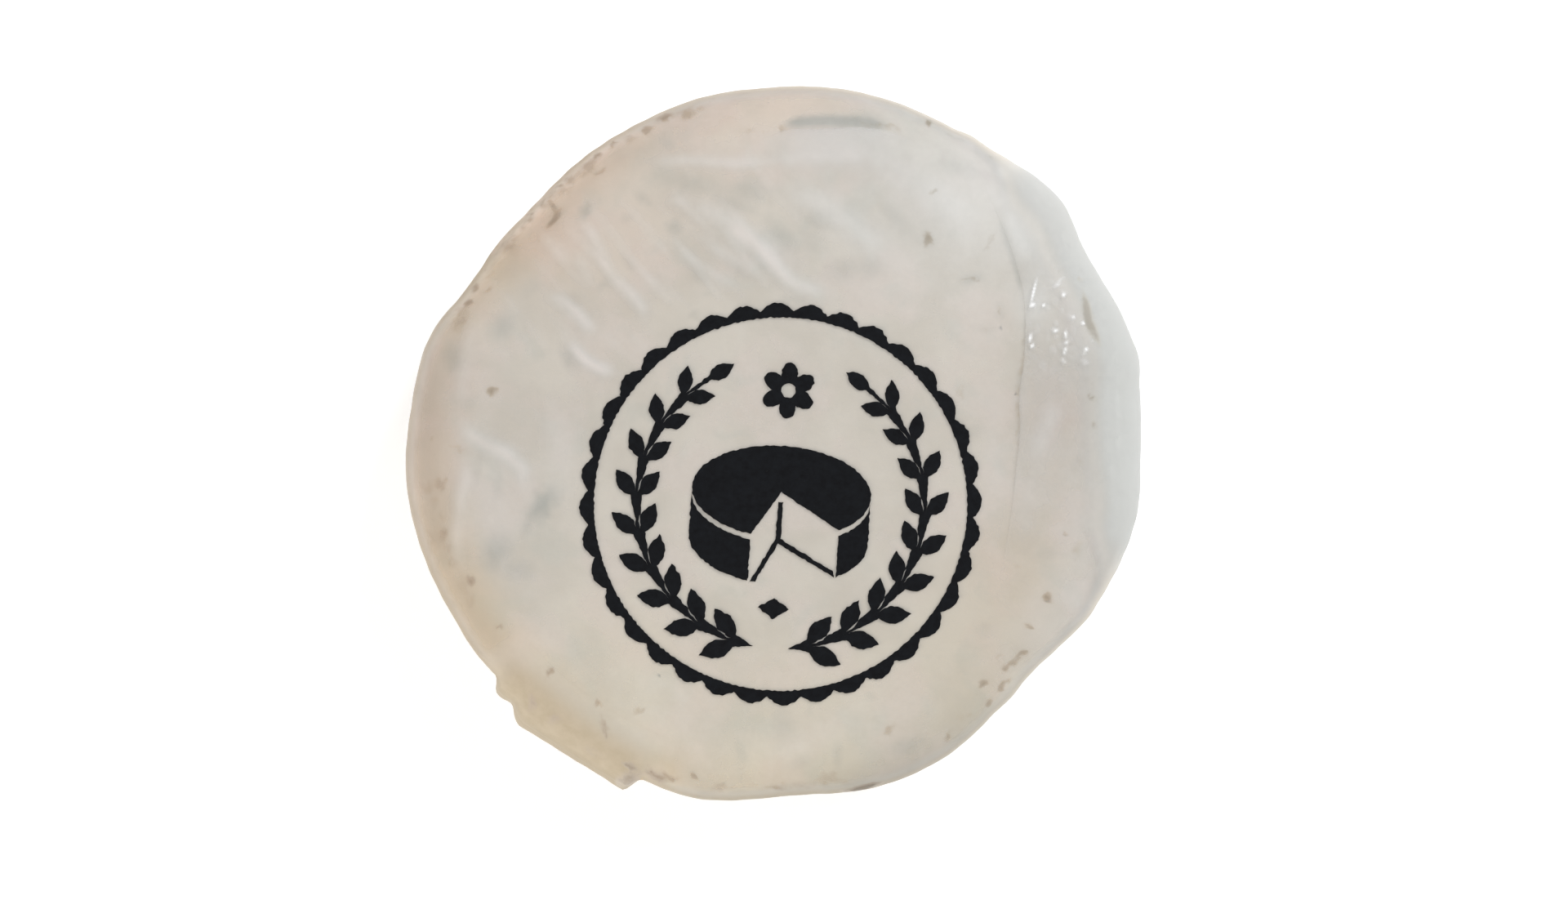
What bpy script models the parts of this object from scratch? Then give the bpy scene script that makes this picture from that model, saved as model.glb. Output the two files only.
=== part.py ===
"""Soft-ripened cheese wheel, shut in a close milky wrap that carries a round printed seal.

Metres, +Z up. The origin is the middle of the footprint, on the surface that the wheel rests on.
The wheel and its tight wrap are one solid, with the wrap's folds as relief. The seal's ink is
a set of thin solids that follow the top. +Y is the side that the seal's top points to.
"""

import math

import bmesh
import bpy

MM = 0.001

# The wheel's section
WHEEL_HEIGHT = 31.0 * MM
MEAN_RADIUS = 54.5 * MM
SHOULDER_WIDTH = 8.5 * MM
SHOULDER_DROP = 9.0 * MM
BASE_CORNER_WIDTH = 5.0 * MM
BASE_CORNER_HEIGHT = 5.5 * MM
TOP_CROWN = 0.7 * MM
SIDE_BELLY = 0.5 * MM
BASE_DRAW_IN = 1.2 * MM

# The outline seen from above: angle, half width in degrees, height in mm of each swell or flat
OUTLINE_LOBES = (
    ("right swell", 351.0, 16.0, 1.8),
    ("right corner", 17.0, 12.0, 2.0),
    ("upper right corner", 43.0, 10.0, 2.5),
    ("top right swell", 68.0, 16.0, 0.5),
    ("top left flat", 115.0, 17.0, -1.5),
    ("left flat", 138.0, 15.0, -3.1),
    ("left flat's end", 154.0, 6.0, -1.4),
    ("left swell", 188.0, 20.0, 1.5),
    ("bottom swell", 257.0, 6.0, 0.5),
    ("bottom flat", 274.0, 9.0, -1.1),
    ("lower right flat", 316.0, 12.0, -2.3),
)

# The flap of spare film, pulled straight between two corners at the lower left
FLAP_START = 220.0
FLAP_END = 248.5
FLAP_STEP = 1.7 * MM
FLAP_REACH = 3.3 * MM
FLAP_SAG = 0.9 * MM
FLAP_CORNER_SHARE = 0.28
FLAP_EDGE_SHARE = 0.06
FLAP_NOTCH_ANGLE = 225.0
FLAP_NOTCH_WIDTH = 1.6
FLAP_NOTCH_DEPTH = 0.9 * MM
FLAP_SHOULDER_SHARE = 0.65

# Folds of the wrap on the top: start x, y, end x, y, half width and height, all in mm.
# Each fades over a stretch at its two ends, counted in its half widths.
FOLD_FADE_WIDTHS = 3.0
TOP_FOLDS = (
    ("first ray", -36.0, 33.0, -27.5, 22.0, 1.9, 0.45),
    ("second ray", -29.5, 35.5, -19.5, 21.0, 1.8, 0.55),
    ("third ray", -19.5, 40.5, -9.5, 27.5, 1.9, 0.60),
    ("fourth ray", -15.5, 31.0, -5.0, 22.8, 1.7, 0.50),
    ("fifth ray", -8.5, 35.5, 10.0, 22.0, 2.0, 0.65),
    ("sixth ray", 2.0, 38.0, 16.5, 27.5, 2.2, 0.45),
    ("low ray", -33.0, 15.0, -24.0, 9.8, 2.0, 0.50),
    ("upper line", -27.0, 42.6, 7.0, 43.4, 1.8, 0.45),
    ("crescent groove", 1.5, 49.0, 23.0, 47.5, 1.6, -0.55),
    ("left loop's upper arm", -50.0, 1.2, -39.5, -2.6, 2.0, 0.50),
    ("left loop's lower arm", -39.5, -2.6, -48.5, -14.6, 2.0, 0.50),
    ("right crease's top", 34.6, 32.7, 38.4, 23.7, 1.5, 0.50),
    ("right crease's middle", 38.4, 20.0, 38.0, 9.0, 1.4, 0.45),
    ("right crease's foot", 38.0, 9.0, 36.3, -9.0, 1.6, 0.35),
)

# Soft hollows and swells of the cheese under the wrap: height, waves across x and y, turn
TOP_SWELLS = ((0.16, 2.0, 1.0, 0.6), (0.13, -1.5, 2.5, 2.1), (0.10, 3.5, 2.0, 4.0))
SWELL_SPAN = 110.0 * MM

# Creases down the side, deeper towards the foot, where the wrap is gathered under
SIDE_CREASES = 26
SIDE_CREASE_DEPTH = 0.6 * MM
SIDE_CREASE_LEAN = 1.5
SIDE_CREASE_WANDER = 1.3
SIDE_CREASE_RIPPLE = 0.8

# Gathered pleats on the underside, around a flat closing patch
PLEATS = 16
PLEAT_DEPTH = 0.5 * MM
PATCH_RADIUS = 12.0 * MM
PLEAT_FADE = 6.0 * MM

# Mesh
RIM_COLUMNS = 144
INNERMOST_COLUMNS = 6
COLUMNS_PER_PLEAT = 5
TOP_SPACING = 2.2 * MM
BASE_SPACING = 3.4 * MM
SHOULDER_STEPS = 5
SIDE_STEPS = 5
CORNER_STEPS = 3
FINE_ARC = (216.0, 252.0)
SHARP_ANGLE = math.radians(60.0)

# The printed seal on the wheel. No fold crosses the clear circle round it.
SEAL_X = 1.25 * MM
SEAL_Y = -9.05 * MM
SEAL_TURN = math.radians(-4.0)
INK_GAP = 0.3 * MM
INK_THICKNESS = 0.2 * MM
SEAL_CLEAR_RADIUS = 33.0 * MM
SEAL_CLEAR_FADE = 4.0 * MM

# The seal's own shapes, in mm from its middle
BORDER_RADIUS = 28.9
BORDER_SCALLOP = 1.2
BORDER_INNER_RADIUS = 27.9
BORDER_SCALLOPS = 36
SCALLOP_STEPS = 5
SPRIG_RADIUS = 21.6
SPRIG_START = math.radians(-83.0)
SPRIG_END = math.radians(60.0)
SPRIG_PAIRS = 9
SPRIG_LEAF_SPAN = 0.94
SPRIG_TIP_AT = 0.97
STEM_HALF_WIDTH = 0.18
LEAF_LENGTH = 5.7
LEAF_HALF_WIDTH = 1.4
LEAF_LEAN = math.radians(38.0)
LEAF_STATIONS = (0.16, 0.42, 0.74)
LEAF_TAPER = 0.8
LEAF_SHORTENING = 0.22
TIP_LEAF_SHARE = 0.8
EMBLEM_HALF_WIDTH = 13.4
EMBLEM_HALF_DEPTH = 6.9
EMBLEM_CENTRE_Y = 1.8
EMBLEM_SIDE_HEIGHT = 7.0
EMBLEM_LINE = 0.8
EMBLEM_STEP = math.radians(8.5)
CUT_LEFT = math.radians(-108.0)
CUT_RIGHT = math.radians(-48.0)
CUT_STROKE = 0.75
CUT_HEAD_DROP = 1.5
CUT_FOOT_INSET = 0.35
FLOWER_Y = 17.0
FLOWER_RADIUS = 4.2
FLOWER_PETALS = 6
FLOWER_VALLEY = 0.58
FLOWER_MIDDLE = 0.26
PETAL_STEPS = 8
MIDDLE_STEPS = 12
DIAMOND_Y = -15.6
DIAMOND_HALF_WIDTH = 2.3
DIAMOND_HALF_HEIGHT = 1.6

WRAP_COLOUR = (0.62, 0.56, 0.49, 1.0)
INK_COLOUR = (0.012, 0.013, 0.015, 1.0)


def clear_scene():
    for item in list(bpy.data.objects):
        bpy.data.objects.remove(item, do_unlink=True)


def material(name, colour, roughness):
    made = bpy.data.materials.new(name)
    made.use_nodes = True
    shader = made.node_tree.nodes["Principled BSDF"]
    shader.inputs["Base Color"].default_value = colour
    shader.inputs["Roughness"].default_value = roughness
    shader.inputs["Metallic"].default_value = 0.0
    made.diffuse_color = colour
    return made


def smooth_step(value):
    share = min(1.0, max(0.0, value))
    return share * share * (3.0 - 2.0 * share)


def angle_between(first, second):
    """The signed difference in degrees, from -180 to 180."""
    return (first - second + 180.0) % 360.0 - 180.0


def outline(degrees):
    """The wheel's radius at an angle, without the film flap."""
    radius = MEAN_RADIUS
    for _, centre, width, height in OUTLINE_LOBES:
        radius += height * MM * math.exp(-((angle_between(degrees, centre) / width) ** 2))
    return radius


def film_flap(degrees):
    """How far the flap of spare film stands out from the wheel at an angle."""
    along = (degrees % 360.0 - FLAP_START) / (FLAP_END - FLAP_START)
    if along <= 0.0 or along >= 1.0:
        return 0.0
    if along < FLAP_CORNER_SHARE:
        reach = FLAP_STEP + (FLAP_REACH - FLAP_STEP) * along / FLAP_CORNER_SHARE
    else:
        between_corners = (along - FLAP_CORNER_SHARE) / (1.0 - FLAP_CORNER_SHARE)
        reach = FLAP_REACH - FLAP_SAG * math.sin(math.pi * between_corners)
    edges = min(1.0, along / FLAP_EDGE_SHARE, (1.0 - along) / FLAP_EDGE_SHARE)
    notch = math.exp(-((angle_between(degrees, FLAP_NOTCH_ANGLE) / FLAP_NOTCH_WIDTH) ** 2))
    return reach * edges - FLAP_NOTCH_DEPTH * notch


def fold_height(x, y, fold):
    """The height that one straight fold, fading at its ends, adds at a point."""
    _, start_x, start_y, end_x, end_y, width, height = fold
    run_x = (end_x - start_x) * MM
    run_y = (end_y - start_y) * MM
    length = math.hypot(run_x, run_y)
    off_x = x - start_x * MM
    off_y = y - start_y * MM
    along = (off_x * run_x + off_y * run_y) / length
    across = (off_x * run_y - off_y * run_x) / length
    end_fade = FOLD_FADE_WIDTHS * width * MM
    inside = smooth_step(min(along, length - along) / end_fade + 0.5)
    return height * MM * math.exp(-((across / (width * MM)) ** 2)) * inside


def top_height(x, y):
    """The height of the wrapped top, before the shoulder rounds it off."""
    radius = math.hypot(x, y)
    height = WHEEL_HEIGHT - TOP_CROWN * (radius / MEAN_RADIUS) ** 2
    for swell, waves_x, waves_y, turn in TOP_SWELLS:
        phase = 2.0 * math.pi * (waves_x * x + waves_y * y) / SWELL_SPAN + turn
        height += swell * MM * math.sin(phase)
    from_seal = math.hypot(x - SEAL_X, y - SEAL_Y)
    folds_share = smooth_step((from_seal - SEAL_CLEAR_RADIUS) / SEAL_CLEAR_FADE + 1.0)
    if folds_share > 0.0:
        height += folds_share * sum(fold_height(x, y, fold) for fold in TOP_FOLDS)
    return height


def side_relief(degrees, share_down):
    """Creases down the side, leaning and wandering, none at the shoulder and full at the foot."""
    turn = math.radians(degrees)
    wander = SIDE_CREASE_WANDER * math.sin(3.0 * turn + 0.7)
    wander += SIDE_CREASE_RIPPLE * math.sin(7.0 * turn)
    crease = math.sin(SIDE_CREASES * turn + wander + SIDE_CREASE_LEAN * share_down)
    return SIDE_CREASE_DEPTH * crease * abs(crease) * smooth_step(share_down)


def column_angles(count, fine_arc=None):
    """Angles in degrees around a ring, with one more between each two in the fine arc."""
    step = 360.0 / count
    angles = []
    for index in range(count):
        angles.append(index * step)
        if fine_arc and fine_arc[0] <= index * step < fine_arc[1]:
            angles.append((index + 0.5) * step)
    return angles


def ring_of(bm, angles, place):
    """One ring of vertices, as (degrees, vertex) pairs. place gives x, y, z for an angle."""
    return [(degrees, bm.verts.new(place(degrees))) for degrees in angles]


def join_rings(bm, upper, lower):
    """Triangles between two rings that run the same way round, whatever their counts."""
    upper_at = 0
    lower_at = 0
    while upper_at < len(upper) or lower_at < len(lower):
        upper_now = upper[upper_at % len(upper)][1]
        lower_now = lower[lower_at % len(lower)][1]
        next_upper = upper[upper_at + 1][0] if upper_at + 1 < len(upper) else 360.0
        next_lower = lower[lower_at + 1][0] if lower_at + 1 < len(lower) else 360.0
        upper_left = upper_at < len(upper)
        lower_left = lower_at < len(lower)
        if upper_left and (not lower_left or next_upper <= next_lower):
            upper_at += 1
            bm.faces.new((upper_now, lower_now, upper[upper_at % len(upper)][1]))
        else:
            lower_at += 1
            bm.faces.new((upper_now, lower_now, lower[lower_at % len(lower)][1]))


def close_ring(bm, ring, centre, facing_up):
    """A fan of triangles from a ring to its middle point."""
    middle = bm.verts.new(centre)
    for index, (_, vertex) in enumerate(ring):
        following = ring[(index + 1) % len(ring)][1]
        corners = (middle, vertex, following) if facing_up else (middle, following, vertex)
        bm.faces.new(corners)


def polar_point(radius, degrees):
    turn = math.radians(degrees)
    return radius * math.cos(turn), radius * math.sin(turn)


def top_point(share, degrees):
    x, y = polar_point(share * (outline(degrees) - SHOULDER_WIDTH), degrees)
    return x, y, top_height(x, y)


def shoulder_point(share, degrees):
    """The rounded shoulder, from the flat top at 0 to the upright side at 1."""
    swing = share * math.pi / 2.0
    reach = outline(degrees) - SHOULDER_WIDTH * (1.0 - math.sin(swing))
    reach += film_flap(degrees) * smooth_step(share) * FLAP_SHOULDER_SHARE
    x, y = polar_point(reach, degrees)
    return x, y, top_height(x, y) - SHOULDER_DROP * (1.0 - math.cos(swing))


def side_point(share, degrees):
    """The upright side, from the shoulder's foot at 0 to the base corner at 1."""
    reach = outline(degrees) + SIDE_BELLY * math.sin(math.pi * share) - BASE_DRAW_IN * share ** 3
    flap_share = FLAP_SHOULDER_SHARE + (1.0 - FLAP_SHOULDER_SHARE) * math.sin(math.pi * share)
    reach += film_flap(degrees) * flap_share
    reach += side_relief(degrees, share)
    x, y = polar_point(reach, degrees)
    shoulder_foot = shoulder_point(1.0, degrees)[2]
    return x, y, shoulder_foot + (BASE_CORNER_HEIGHT - shoulder_foot) * share


def corner_point(share, degrees):
    """The rounded lower corner, from the side at 0 to the underside at 1."""
    swing = share * math.pi / 2.0
    reach = outline(degrees) - BASE_DRAW_IN - BASE_CORNER_WIDTH * (1.0 - math.cos(swing))
    reach += film_flap(degrees) * FLAP_SHOULDER_SHARE * (1.0 - share)
    reach += side_relief(degrees, 1.0) * (1.0 - share)
    x, y = polar_point(reach, degrees)
    return x, y, BASE_CORNER_HEIGHT * (1.0 - math.sin(swing))


def base_rim(degrees):
    return outline(degrees) - BASE_DRAW_IN - BASE_CORNER_WIDTH


def base_point(share, degrees):
    """The underside: each pleat is a shallow ramp that laps over the next one."""
    radius = share * base_rim(degrees)
    x, y = polar_point(radius, degrees)
    ramp = (degrees * PLEATS / 360.0) % 1.0
    inner_fade = smooth_step((radius - PATCH_RADIUS) / PLEAT_FADE)
    outer_fade = smooth_step((base_rim(degrees) - radius) / PLEAT_FADE)
    return x, y, PLEAT_DEPTH * ramp * inner_fade * outer_fade


def columns_at(radius, spacing, multiple):
    """How many columns a ring takes at a spacing, as a multiple, so that rings line up."""
    return max(multiple, multiple * round(2.0 * math.pi * radius / spacing / multiple))


def add_object(name, bm, finish):
    mesh = bpy.data.meshes.new(name)
    bm.to_mesh(mesh)
    bm.free()
    mesh.shade_smooth()
    mesh.set_sharp_from_angle(angle=SHARP_ANGLE)
    item = bpy.data.objects.new(name, mesh)
    item.data.materials.append(finish)
    bpy.context.scene.collection.objects.link(item)
    return item


def build_wrapped_wheel(finish):
    bm = bmesh.new()
    top_radius = MEAN_RADIUS - SHOULDER_WIDTH
    rim_angles = column_angles(RIM_COLUMNS, FINE_ARC)
    rings = []
    top_rings = round(top_radius / TOP_SPACING)
    for index in range(1, top_rings):
        share = index / top_rings
        wanted = columns_at(share * top_radius, TOP_SPACING, INNERMOST_COLUMNS)
        angles = column_angles(min(RIM_COLUMNS, wanted))
        rings.append(ring_of(bm, angles, lambda a, s=share: top_point(s, a)))
    for index in range(SHOULDER_STEPS + 1):
        share = index / SHOULDER_STEPS
        rings.append(ring_of(bm, rim_angles, lambda a, s=share: shoulder_point(s, a)))
    for index in range(1, SIDE_STEPS + 1):
        share = index / SIDE_STEPS
        rings.append(ring_of(bm, rim_angles, lambda a, s=share: side_point(s, a)))
    for index in range(1, CORNER_STEPS + 1):
        share = index / CORNER_STEPS
        rings.append(ring_of(bm, rim_angles, lambda a, s=share: corner_point(s, a)))
    base_rings = round((MEAN_RADIUS - BASE_CORNER_WIDTH) / BASE_SPACING)
    pleat_columns = PLEATS * COLUMNS_PER_PLEAT
    for index in range(base_rings - 1, 0, -1):
        share = index / base_rings
        wanted = columns_at(share * MEAN_RADIUS, BASE_SPACING, PLEATS)
        angles = column_angles(min(pleat_columns, wanted))
        rings.append(ring_of(bm, angles, lambda a, s=share: base_point(s, a)))
    for upper, lower in zip(rings, rings[1:]):
        join_rings(bm, upper, lower)
    close_ring(bm, rings[0], (0.0, 0.0, top_height(0.0, 0.0)), True)
    close_ring(bm, rings[-1], (0.0, 0.0, 0.0), False)
    return add_object("wrapped_wheel", bm, finish)


def seal_to_world(u, v):
    """A point of the seal, in its own mm, as x and y on the wheel."""
    x = (u * math.cos(SEAL_TURN) - v * math.sin(SEAL_TURN)) * MM
    y = (u * math.sin(SEAL_TURN) + v * math.cos(SEAL_TURN)) * MM
    return SEAL_X + x, SEAL_Y + y


def add_ink(name, loops, finish):
    """A thin solid of ink with the given closed loops as outline and holes, laid on the top."""
    curve = bpy.data.curves.new(name + "_outline", "CURVE")
    curve.dimensions = "2D"
    curve.fill_mode = "BOTH"
    curve.extrude = INK_THICKNESS / 2.0
    for loop in loops:
        spline = curve.splines.new("POLY")
        spline.points.add(len(loop) - 1)
        for point, (u, v) in zip(spline.points, loop):
            x, y = seal_to_world(u, v)
            point.co = (x, y, 0.0, 1.0)
        spline.use_cyclic_u = True
    flat = bpy.data.objects.new(name + "_flat", curve)
    mesh = bpy.data.meshes.new_from_object(flat)
    bm = bmesh.new()
    bm.from_mesh(mesh)
    bmesh.ops.remove_doubles(bm, verts=bm.verts, dist=0.00001)
    bmesh.ops.triangulate(bm, faces=bm.faces)
    bmesh.ops.recalc_face_normals(bm, faces=bm.faces)
    for vertex in bm.verts:
        level = INK_GAP + INK_THICKNESS / 2.0 + vertex.co.z
        vertex.co.z = top_height(vertex.co.x, vertex.co.y) + level
    bpy.data.objects.remove(flat)
    bpy.data.curves.remove(curve)
    bpy.data.meshes.remove(mesh)
    return add_object(name, bm, finish)


def circle(radius, steps):
    turns = [2.0 * math.pi * index / steps for index in range(steps)]
    return [(radius * math.cos(turn), radius * math.sin(turn)) for turn in turns]


def scalloped_circle():
    steps = BORDER_SCALLOPS * SCALLOP_STEPS
    points = []
    for index in range(steps):
        turn = 2.0 * math.pi * index / steps
        bump = abs(math.sin(BORDER_SCALLOPS * turn / 2.0))
        radius = BORDER_RADIUS + BORDER_SCALLOP * bump
        points.append((radius * math.cos(turn), radius * math.sin(turn)))
    return points


def leaf(base_u, base_v, direction, length):
    """A pointed leaf from its base round its tip and back, anticlockwise."""
    half_width = LEAF_HALF_WIDTH * length / LEAF_LENGTH
    stations = [(share, -1.0) for share in LEAF_STATIONS] + [(1.0, 0.0)]
    stations += [(share, 1.0) for share in reversed(LEAF_STATIONS)]
    points = []
    for share, side in stations:
        along = share * length
        across = side * half_width * math.sin(math.pi * share ** LEAF_TAPER)
        u = base_u + along * math.cos(direction) - across * math.sin(direction)
        v = base_v + along * math.sin(direction) + across * math.cos(direction)
        points.append((u, v))
    return points


def sprig():
    """The right-hand sprig: a stem along an arc with a leaf on each side at each joint."""
    outer = []
    inner = []
    sweep = SPRIG_END - SPRIG_START
    for index in range(SPRIG_PAIRS):
        share = (index + 0.5) / SPRIG_PAIRS
        turn = SPRIG_START + share * sweep * SPRIG_LEAF_SPAN
        heading = turn + math.pi / 2.0
        length = LEAF_LENGTH * (1.0 - LEAF_SHORTENING * share)
        for sign, side in ((1.0, outer), (-1.0, inner)):
            foot = SPRIG_RADIUS + sign * STEM_HALF_WIDTH
            place = (foot * math.cos(turn), foot * math.sin(turn))
            side.append(leaf(*place, heading - sign * LEAF_LEAN, length))
    start = (SPRIG_RADIUS * math.cos(SPRIG_START), SPRIG_RADIUS * math.sin(SPRIG_START))
    end_turn = SPRIG_START + SPRIG_TIP_AT * sweep
    tip_foot = (SPRIG_RADIUS * math.cos(end_turn), SPRIG_RADIUS * math.sin(end_turn))
    tip = leaf(*tip_foot, end_turn + math.pi / 2.0, LEAF_LENGTH * TIP_LEAF_SHARE)
    points = [start]
    for lobe in outer:
        points.extend(lobe)
    points.extend(tip)
    for lobe in reversed(inner):
        points.extend(lobe)
    return points


def mirrored(points):
    return [(-u, v) for u, v in reversed(points)]


def emblem_rim(turn, drop=0.0):
    """A point on the rim of the pictured wheel's top, moved down by drop."""
    u = EMBLEM_HALF_WIDTH * math.cos(turn)
    v = EMBLEM_CENTRE_Y + EMBLEM_HALF_DEPTH * math.sin(turn)
    return u, v - drop


def spread(start, end):
    """Turns from start to end in even steps of about EMBLEM_STEP."""
    steps = max(2, round(abs(end - start) / EMBLEM_STEP))
    return [start + (end - start) * index / steps for index in range(steps + 1)]


def emblem_top():
    """The pictured wheel's top with its cut wedge left bare."""
    rim = [emblem_rim(turn) for turn in spread(CUT_RIGHT, CUT_LEFT + 2.0 * math.pi)]
    return [(0.0, EMBLEM_CENTRE_Y)] + rim


def emblem_side(start, end):
    """The pictured wheel's side under a stretch of its rim."""
    upper = [emblem_rim(turn, EMBLEM_LINE) for turn in spread(end, start)]
    lower = [emblem_rim(turn, EMBLEM_SIDE_HEIGHT) for turn in spread(start, end)]
    return lower + upper


def emblem_cut_lines():
    """The inner edges of the cut: one upright and two feet, as one stroke."""
    half = CUT_STROKE / 2.0
    head_v = EMBLEM_CENTRE_Y - CUT_HEAD_DROP
    foot_v = EMBLEM_CENTRE_Y - EMBLEM_SIDE_HEIGHT
    left_u, left_v = emblem_rim(CUT_LEFT, EMBLEM_SIDE_HEIGHT)
    right_u, right_v = emblem_rim(CUT_RIGHT, EMBLEM_SIDE_HEIGHT)
    left_u += CUT_FOOT_INSET
    right_u -= CUT_FOOT_INSET
    return [
        (half, head_v), (-half, head_v), (-half, foot_v),
        (left_u, left_v), (left_u + CUT_STROKE, left_v), (0.0, foot_v - CUT_STROKE),
        (right_u, right_v), (right_u, right_v + CUT_STROKE), (half, foot_v),
    ]


def flower():
    """A small round-petalled flower, outer loop and bare middle."""
    steps = FLOWER_PETALS * PETAL_STEPS
    points = []
    for index in range(steps):
        turn = 2.0 * math.pi * index / steps
        petal = abs(math.sin(FLOWER_PETALS * turn / 2.0))
        reach = FLOWER_RADIUS * (FLOWER_VALLEY + (1.0 - FLOWER_VALLEY) * petal)
        points.append((reach * math.cos(turn), FLOWER_Y + reach * math.sin(turn)))
    middle = circle(FLOWER_MIDDLE * FLOWER_RADIUS, MIDDLE_STEPS)
    return [points, [(u, FLOWER_Y + v) for u, v in middle]]


def diamond():
    return [
        (DIAMOND_HALF_WIDTH, DIAMOND_Y), (0.0, DIAMOND_Y + DIAMOND_HALF_HEIGHT),
        (-DIAMOND_HALF_WIDTH, DIAMOND_Y), (0.0, DIAMOND_Y - DIAMOND_HALF_HEIGHT),
    ]


def build_seal(finish):
    border_steps = BORDER_SCALLOPS * SCALLOP_STEPS
    add_ink("seal_border", [scalloped_circle(), circle(BORDER_INNER_RADIUS, border_steps)], finish)
    add_ink("seal_sprig_right", [sprig()], finish)
    add_ink("seal_sprig_left", [mirrored(sprig())], finish)
    add_ink("seal_wheel_top", [emblem_top()], finish)
    add_ink("seal_wheel_side_left", [emblem_side(-math.pi, CUT_LEFT)], finish)
    add_ink("seal_wheel_side_right", [emblem_side(CUT_RIGHT, 0.0)], finish)
    add_ink("seal_wheel_cut", [emblem_cut_lines()], finish)
    add_ink("seal_flower", flower(), finish)
    add_ink("seal_diamond", [diamond()], finish)


def main():
    clear_scene()
    wrap = material("milky_wrap", WRAP_COLOUR, 0.45)
    ink = material("seal_ink", INK_COLOUR, 0.6)
    build_wrapped_wheel(wrap)
    build_seal(ink)


main()
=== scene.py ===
"""Looks of a wrapped camembert wheel: milky film over a bloomy rind, with a printed black seal.

Metres, +Z up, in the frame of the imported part. Sizes below are in mm, and MM turns them to metres.
"""

import math

import bmesh
import bpy
import numpy as np
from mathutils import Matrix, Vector
from mathutils.geometry import delaunay_2d_cdt


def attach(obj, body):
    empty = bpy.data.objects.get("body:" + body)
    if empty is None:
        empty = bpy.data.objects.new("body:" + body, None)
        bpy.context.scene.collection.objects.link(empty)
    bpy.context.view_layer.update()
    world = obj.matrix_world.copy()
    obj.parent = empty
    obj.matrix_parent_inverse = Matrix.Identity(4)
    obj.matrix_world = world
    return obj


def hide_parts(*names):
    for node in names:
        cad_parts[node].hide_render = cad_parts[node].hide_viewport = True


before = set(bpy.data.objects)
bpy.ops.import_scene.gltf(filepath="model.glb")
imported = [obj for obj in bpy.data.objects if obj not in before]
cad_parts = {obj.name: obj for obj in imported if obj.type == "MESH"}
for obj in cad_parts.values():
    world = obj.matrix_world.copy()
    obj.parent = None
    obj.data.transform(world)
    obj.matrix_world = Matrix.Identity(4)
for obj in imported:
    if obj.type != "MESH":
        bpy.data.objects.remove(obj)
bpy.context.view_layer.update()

MM = 0.001

# The photo is 1920 px wide and takes in this many mm at the wheel's widest height
PHOTO_WIDTH_PX = 1920.0
PX_PER_MM = 8.0
VIEW_WIDTH = PHOTO_WIDTH_PX / PX_PER_MM
VIEW_CENTRE = (1.75, -1.63)
WIDEST_HEIGHT = 15.0
CAMERA_LENS = 100.0
SENSOR_WIDTH = 36.0
CAMERA_DISTANCE = VIEW_WIDTH * CAMERA_LENS / SENSOR_WIDTH

# The wheel's section, as in the part
WHEEL_HEIGHT = 31.0
MEAN_RADIUS = 54.5
SHOULDER_WIDTH = 8.5
SHOULDER_DROP = 9.0
BASE_CORNER_WIDTH = 5.0
BASE_CORNER_HEIGHT = 5.5
TOP_CROWN = 0.7
SIDE_BELLY = 0.5
BASE_DRAW_IN = 1.2

# The outline from above, as in the part: angle, half width in degrees, height in mm
OUTLINE_LOBES = (
    ("right swell", 351.0, 16.0, 1.8),
    ("right corner", 17.0, 12.0, 2.0),
    ("upper right corner", 43.0, 10.0, 2.5),
    ("top right swell", 68.0, 16.0, 0.5),
    ("top left flat", 115.0, 17.0, -1.5),
    ("left flat", 138.0, 15.0, -3.1),
    ("left flat's end", 154.0, 6.0, -1.4),
    ("left swell", 188.0, 20.0, 1.5),
    ("bottom swell", 257.0, 6.0, 0.5),
    ("bottom flat", 274.0, 9.0, -1.1),
    ("lower right flat", 316.0, 12.0, -2.3),
)

# Finer bends of the outline
FINE_LOBES = (
    ("right swell's foot", 357.0, 5.0, -0.35),
    ("right corner's tip", 13.0, 3.0, 0.45),
    ("upper right corner's tip", 38.5, 3.5, 0.40),
    ("upper right hollow", 48.0, 4.0, -0.20),
    ("top right bend", 57.0, 2.5, 0.35),
    ("top", 92.0, 8.0, -0.40),
    ("top left", 116.0, 12.0, -0.22),
    ("left flat's bend", 148.0, 4.0, -0.45),
    ("left", 175.0, 8.0, -0.42),
    ("left's foot", 192.0, 10.0, -0.20),
    ("lower left", 215.0, 4.0, 0.30),
    ("lower right bend", 313.5, 3.5, 0.45),
    ("right foot's bend", 331.0, 3.0, 0.25),
)

# The flap of spare film at the lower left
FLAP_START = 220.0
FLAP_END = 248.5
FLAP_STEP = 1.7
FLAP_REACH = 3.3
FLAP_SAG = 0.9
FLAP_CORNER_SHARE = 0.28
FLAP_EDGE_SHARE = 0.06
FLAP_NOTCH_ANGLE = 225.0
FLAP_NOTCH_WIDTH = 1.4
FLAP_NOTCH_DEPTH = 1.1
FLAP_SHOULDER_SHARE = 0.65
# It is widest this share of the way down the side
FLAP_WIDEST = 0.5

# Soft hollows and swells of the cheese: height, waves across x and y, turn
TOP_SWELLS = ((0.16, 2.0, 1.0, 0.6), (0.13, -1.5, 2.5, 2.1), (0.10, 3.5, 2.0, 4.0))
SWELL_SPAN = 110.0

# How far the film stands off the cheese's side: angle, half width in degrees, mm
STANDOFFS = (
    ("right side", 5.0, 20.0, 3.6),
    ("upper right", 40.0, 12.0, 1.6),
    ("lower right", 334.0, 12.0, 0.15),
)
LEAST_STANDOFF = 0.20
CHEESE_UNDER_FILM = 0.25
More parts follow.
